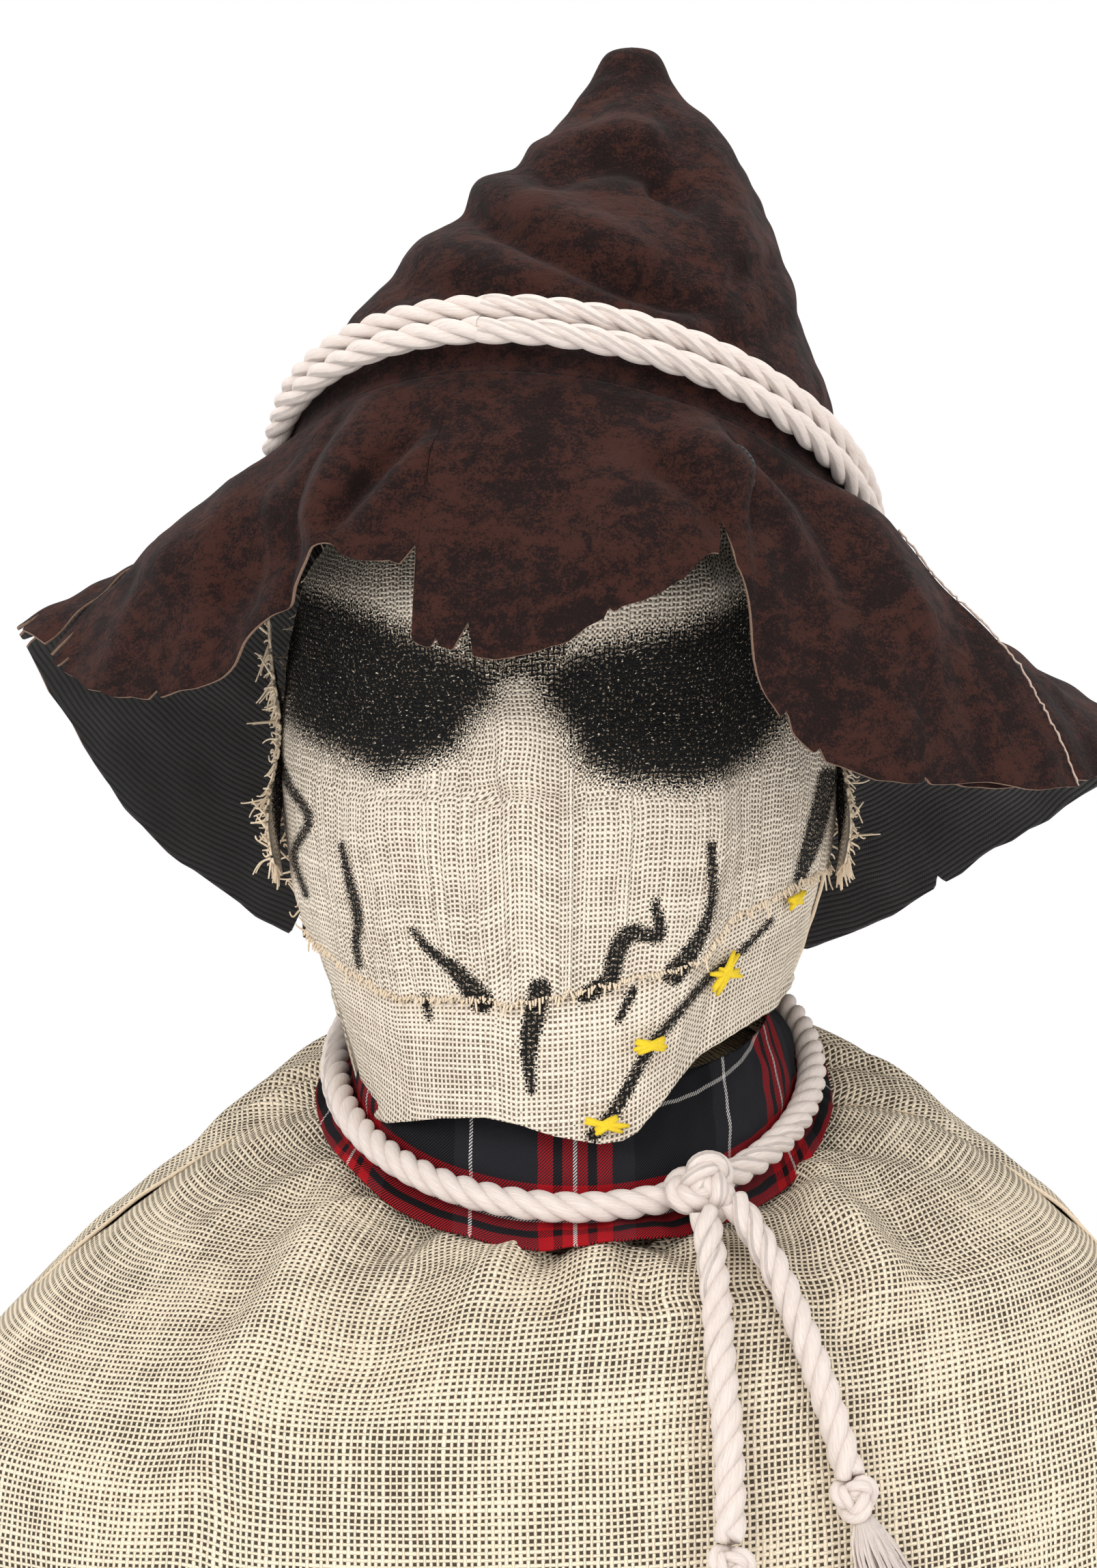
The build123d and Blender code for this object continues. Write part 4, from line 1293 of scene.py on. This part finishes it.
def crown_shape(grid):
    x, z = ray_from_eye(grid)
    front = smoothstep((20 - grid[..., 1]) / 30)
    height = np.zeros(x.shape)
    for line, width, depth in CROWN_CREASES:
        height += crease(x, z, line, width, depth, 0.22) * front
    slack = smoothstep((946 - grid[..., 2]) / 20)
    height += slack * (1.1 * ripple(grid * [1, 1, 1.5], 70, 41) + 0.45 * ripple(grid * [1, 1, 1.6], 24, 42))
    height += slack * (1 - front) * 1.6 * ripple(grid * [0.8, 0.8, 1.9], 90, 43)
    return height


def make_crown():
    turns = np.linspace(180, 540, 440, endpoint=False)
    rings = (Ring(950, 32, 15, 1.5, 1.5), *CROWN_RINGS, Ring(747, 10.6, 2, 118.5, 115.5, *HAT_TILT))
    grid = panel(rings, turns, 290)
    height = crown_shape(grid)
    seam = np.linspace(0, 1, 290)[:, None]
    height = height * smoothstep((0.985 - seam) / 0.06) + 0.9 * np.exp(-(((seam - 0.972) / 0.008) ** 2))
    grid = grid + outward(grid) * height[..., None]
    piece = cloth("crown_suede", grid, HAT_CLOTH, ("suede", "lining", "edge"), closed=True, row=145, column=220)
    wear(piece, "hat", "hat_suede", "hat_crown")


def cuts_at(angles, cuts, seed):
    """How much of the brim's reach the ragged cut takes away at each angle."""
    draw = np.random.default_rng(seed)
    taken = np.zeros(len(angles))
    for corners in cuts:
        at, depth = np.array(corners, float).T
        taken = np.maximum(taken, np.interp(angles, at, depth))
    places = np.arange(-100, 300, 2.3)
    wobble = np.interp(angles, places, draw.uniform(0, 1.6, len(places)))
    return taken + wobble


def brim(edge_stops, seam_angles, edge_angles, cuts, rows, lift, seed, folds=()):
    """The brim's grid: rows run out from the seam to the cut edge."""
    base = CROWN_RINGS[-1]
    seam_turn = np.radians(seam_angles)
    dx = (base.half_x + BRIM_GAP) * np.sin(seam_turn)
    dy = -(base.half_y + BRIM_GAP) * np.cos(seam_turn)
    seam = np.stack([base.x + dx, base.y + dy, base.z + base.rise_x * dx + base.rise_y * dy], axis=-1)
    reach, height = through(edge_stops, edge_angles).T
    edge_turn = np.radians(edge_angles)
    out = np.stack([np.sin(edge_turn), -np.cos(edge_turn), 0 * edge_turn], axis=-1)
    edge = out * reach[:, None] + np.stack([BRIM_CENTRE_X + 0 * reach, 0 * reach, height], axis=-1)
    share = np.linspace(0, 1, rows)[:, None] + 0 * reach[None, :]
    swell = BRIM_SWELL * np.sin(math.pi * share)
    up = np.array([0, 0, 0.5])
    grid = seam[None] + (edge - seam)[None] * share[..., None] + (out[None] + up) * swell[..., None]
    wave = 2.6 * ripple(grid * [1, 1, 0.5], 75, seed) + 1.0 * ripple(grid * [1, 1, 0.6], 28, seed + 1)
    height = wave * (1 - np.exp(-share * 5)) + lift * smoothstep(share / 0.1)
    x, z = ray_from_eye(grid)
    for line, width, depth in folds:
        height = height + crease(x, z, line, width, depth, 0.3) * smoothstep(share / 0.15)
    grid = grid + outward(grid, False) * height[..., None]
    kept = 1 - cuts_at(edge_angles, cuts, seed) / np.linalg.norm(edge - seam, axis=1)
    place = share * (rows - 1) * kept
    row = np.minimum(place.astype(int), rows - 2)
    part = (place - row)[..., None]
    column = np.arange(len(reach))[None, :]
    return grid[row, column] * (1 - part) + grid[row + 1, column] * part


FRONT_FOLDS = (
    # line, width, depth on the front brim as seen from the front
    ([(-42, 807), (-54, 798), (-66, 787), (-80, 771), (-92, 756)], 5.0, -6.5),
    ([(-36, 803), (-50, 789), (-64, 773), (-78, 752)], 7.5, 6.5),
    ([(-98, 792), (-112, 772), (-138, 752), (-165, 742)], 12.0, 6.0),
    ([(-92, 770), (-108, 752), (-128, 728)], 11.0, -6.0),
    ([(30, 803), (56, 793), (76, 780), (88, 766), (96, 742)], 7.0, 6.0),
    ([(28, 792), (50, 782), (63, 770), (68, 752)], 6.5, -5.5),
    ([(56, 802), (84, 787), (100, 771), (112, 748), (122, 716)], 6.5, -5.0),
    ([(84, 797), (104, 782), (120, 762), (136, 733), (150, 702)], 9.0, 4.5),
    ([(20, 795), (24, 770), (18, 740)], 13.0, 3.5),
    ([(-22, 798), (-24, 768), (-22, 738)], 13.0, -3.0),
)


def make_brim():
    columns, rows = 640, 90
    share = np.linspace(0, 1, columns)
    seam_angles = -90 + 148 * share
    edge_angles = seam_angles + 14 * smoothstep((seam_angles - 15) / 43)
    grid = brim(FRONT_EDGE, seam_angles, edge_angles, FRONT_CUTS, rows, 2.2, 51, FRONT_FOLDS)
    front = cloth("brim_front_suede", grid, HAT_CLOTH, ("suede", "lining", "edge"), row=0, column=columns // 2)
    wear(front, "hat", "hat_suede", "hat_brim_front")
    draw = np.random.default_rng(17)
    side = evenly((grid + outward(grid, False) * 0.7)[12:, -1], 1.4)
    side = side + draw.normal(0, 0.22, side.shape)
    fibres = tubes("brim_front_fibres", [side], [draw.uniform(0.3, 0.55, len(side))], 5, "edge yarn")
    wear(fibres, "hat", "hat_suede")

    columns = 700
    share = np.linspace(0, 1, columns)
    seam_angles = 50 + 222 * share
    edge_angles = 50 + 227 * share
    grid = brim(BACK_EDGE, seam_angles, edge_angles, BACK_CUTS, rows, -0.6, 61)
    back = cloth("brim_back_suede", grid, HAT_CLOTH, ("suede", "lining", "edge"), row=0, column=columns // 2)
    wear(back, "hat", "hat_suede", "hat_brim_back")


FILLING_INSET = 14.0


def make_hat_inside():
    turns = np.linspace(0, 360, 240, endpoint=False)
    rings = (
        Ring(777, 10.6, 2, 103, 99.5, *HAT_TILT),
        Ring(767, 10.6, 2, 106, 102.5, *HAT_TILT),
        Ring(757, 10.6, 2, 109, 105.5, *HAT_TILT),
    )
    band = panel(rings, turns, 24)
    band = band + outward(band) * (0.25 * ripple(band, 20, 71))[..., None]
    piece = cloth("sweatband_tape", band, 1.2, ("lining", "lining", "lining"), closed=True, row=0, column=0)
    wear(piece, "hat", "hat_lining", "hat_sweatband")

    def base(x, y):
        return np.maximum(813.0, 785.5 + HAT_TILT[0] * x + HAT_TILT[1] * y)

    rings = (Ring(908, 32, 12, 15.0, 15.0), *CROWN_RINGS[3:])
    end = share_at(rings, turns, base, -FILLING_INSET)
    side = panel(rings, turns, 150, 0.0, end, grow=-FILLING_INSET)
    rim = side[-1]
    middle = np.array([12.0, 4.0, 0.0])
    inward = np.linspace(0, 0.98, 20)[1:, None, None]
    under = rim[None] + (middle - rim)[None] * inward * [1, 1, 0]
    under[..., 2] = base(under[..., 0], under[..., 1])
    grid = np.concatenate([side, under])
    grid = grid + outward(grid) * (0.8 * ripple(grid, 30, 72) - 1.0)[..., None]
    piece = solid_of("crown_filling", grid, "filling")
    wear(piece, "hat", "stuffing", "hat_stuffing")


# ---------------------------------------------------------------- the head core
CORE_INSET = 10.0


def make_head_core():
    turns = np.linspace(0, 360, 200, endpoint=False)
    rings = (Ring(800, 4, 0, 1, 1), *MASK_RINGS[:-1])

    def base(x, y):
        return 599.5 + 0.25 * y

    end = share_at(rings, turns, base, -CORE_INSET)
    side = panel(rings, turns, 150, 0.0, end, grow=-CORE_INSET)
    rim = side[-1]
    inward = np.linspace(0, 1, 20)[1:, None, None]
    out = rim - [4.0, 0.0, 0.0]
    reach = np.linalg.norm(out[:, :2], axis=1)[:, None]
    under = rim[None] - out[None] * inward * (1 - 15.5 / reach)[None] * [1, 1, 0]
    under[..., 2] = base(under[..., 0], under[..., 1])
    grid = np.concatenate([side, under])
    grid = grid + outward(grid) * (0.35 * ripple(grid, 16, 73) - 0.4)[..., None]
    piece = solid_of("head_foam_block", grid, "foam")
    wear(piece, "head", "head_foam", "head_core")


# ---------------------------------------------------------------- hard pieces keep their CAD shape
FINISHES = {
    "rubber_pad": "rubber",
    "base_board": "board",
    "post_flange": "steel",
    "flange_screws": "steel",
    "post": "frame",
    "crossbar": "frame",
    "crossbar_bolt": "steel",
    "crossbar_washer": "steel",
    "crossbar_wing_nut": "steel",
    "neck_peg": "frame",
    "head_stop_washer": "steel",
    "head_bush": "plastic",
}


def finish_hard_pieces():
    for node, material in FINISHES.items():
        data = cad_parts[node].data
        data.materials.clear()
        data.materials.append(MATERIALS[material])


# ---------------------------------------------------------------- light and floor
def make_studio():
    world = bpy.data.worlds.new("studio")
    bpy.context.scene.world = world
    world.use_nodes = True
    background = world.node_tree.nodes["Background"]
    background.inputs["Color"].default_value = (1, 1, 1, 1)
    background.inputs["Strength"].default_value = 1.0
    for name, place, size, power in (
        ("key", (-1.5, -2.3, 2.0), 1.6, 34),
        ("fill", (1.8, -2.0, 1.1), 1.8, 14),
        ("top", (0.1, 0.2, 2.5), 1.4, 14),
    ):
        data = bpy.data.lights.new(name, "AREA")
        data.size = size
        data.energy = power
        light = bpy.data.objects.new(name, data)
        light.location = place
        aim = Vector((0, 0, 0.62)) - Vector(place)
        light.rotation_euler = aim.to_track_quat("-Z", "Y").to_euler()
        bpy.context.scene.collection.objects.link(light)
    bpy.context.scene.view_settings.view_transform = "Standard"
    half = 4000
    corners = [(-half, -half, -0.6), (half, -half, -0.6), (half, half, -0.6), (-half, half, -0.6)]
    floor = make_mesh("floor", corners, [(0, 1, 2, 3)])
    floor.data.materials.append(speckled("floor", (0.99, 0.99, 0.99), (0.96, 0.96, 0.96), 30.0, 0.9, 0.0001))


make_ropes()
make_tunic()
make_sack()
make_collar()
make_mask()
make_ear_strips()
make_crown()
make_brim()
make_hat_inside()
make_head_core()
finish_hard_pieces()
make_studio()
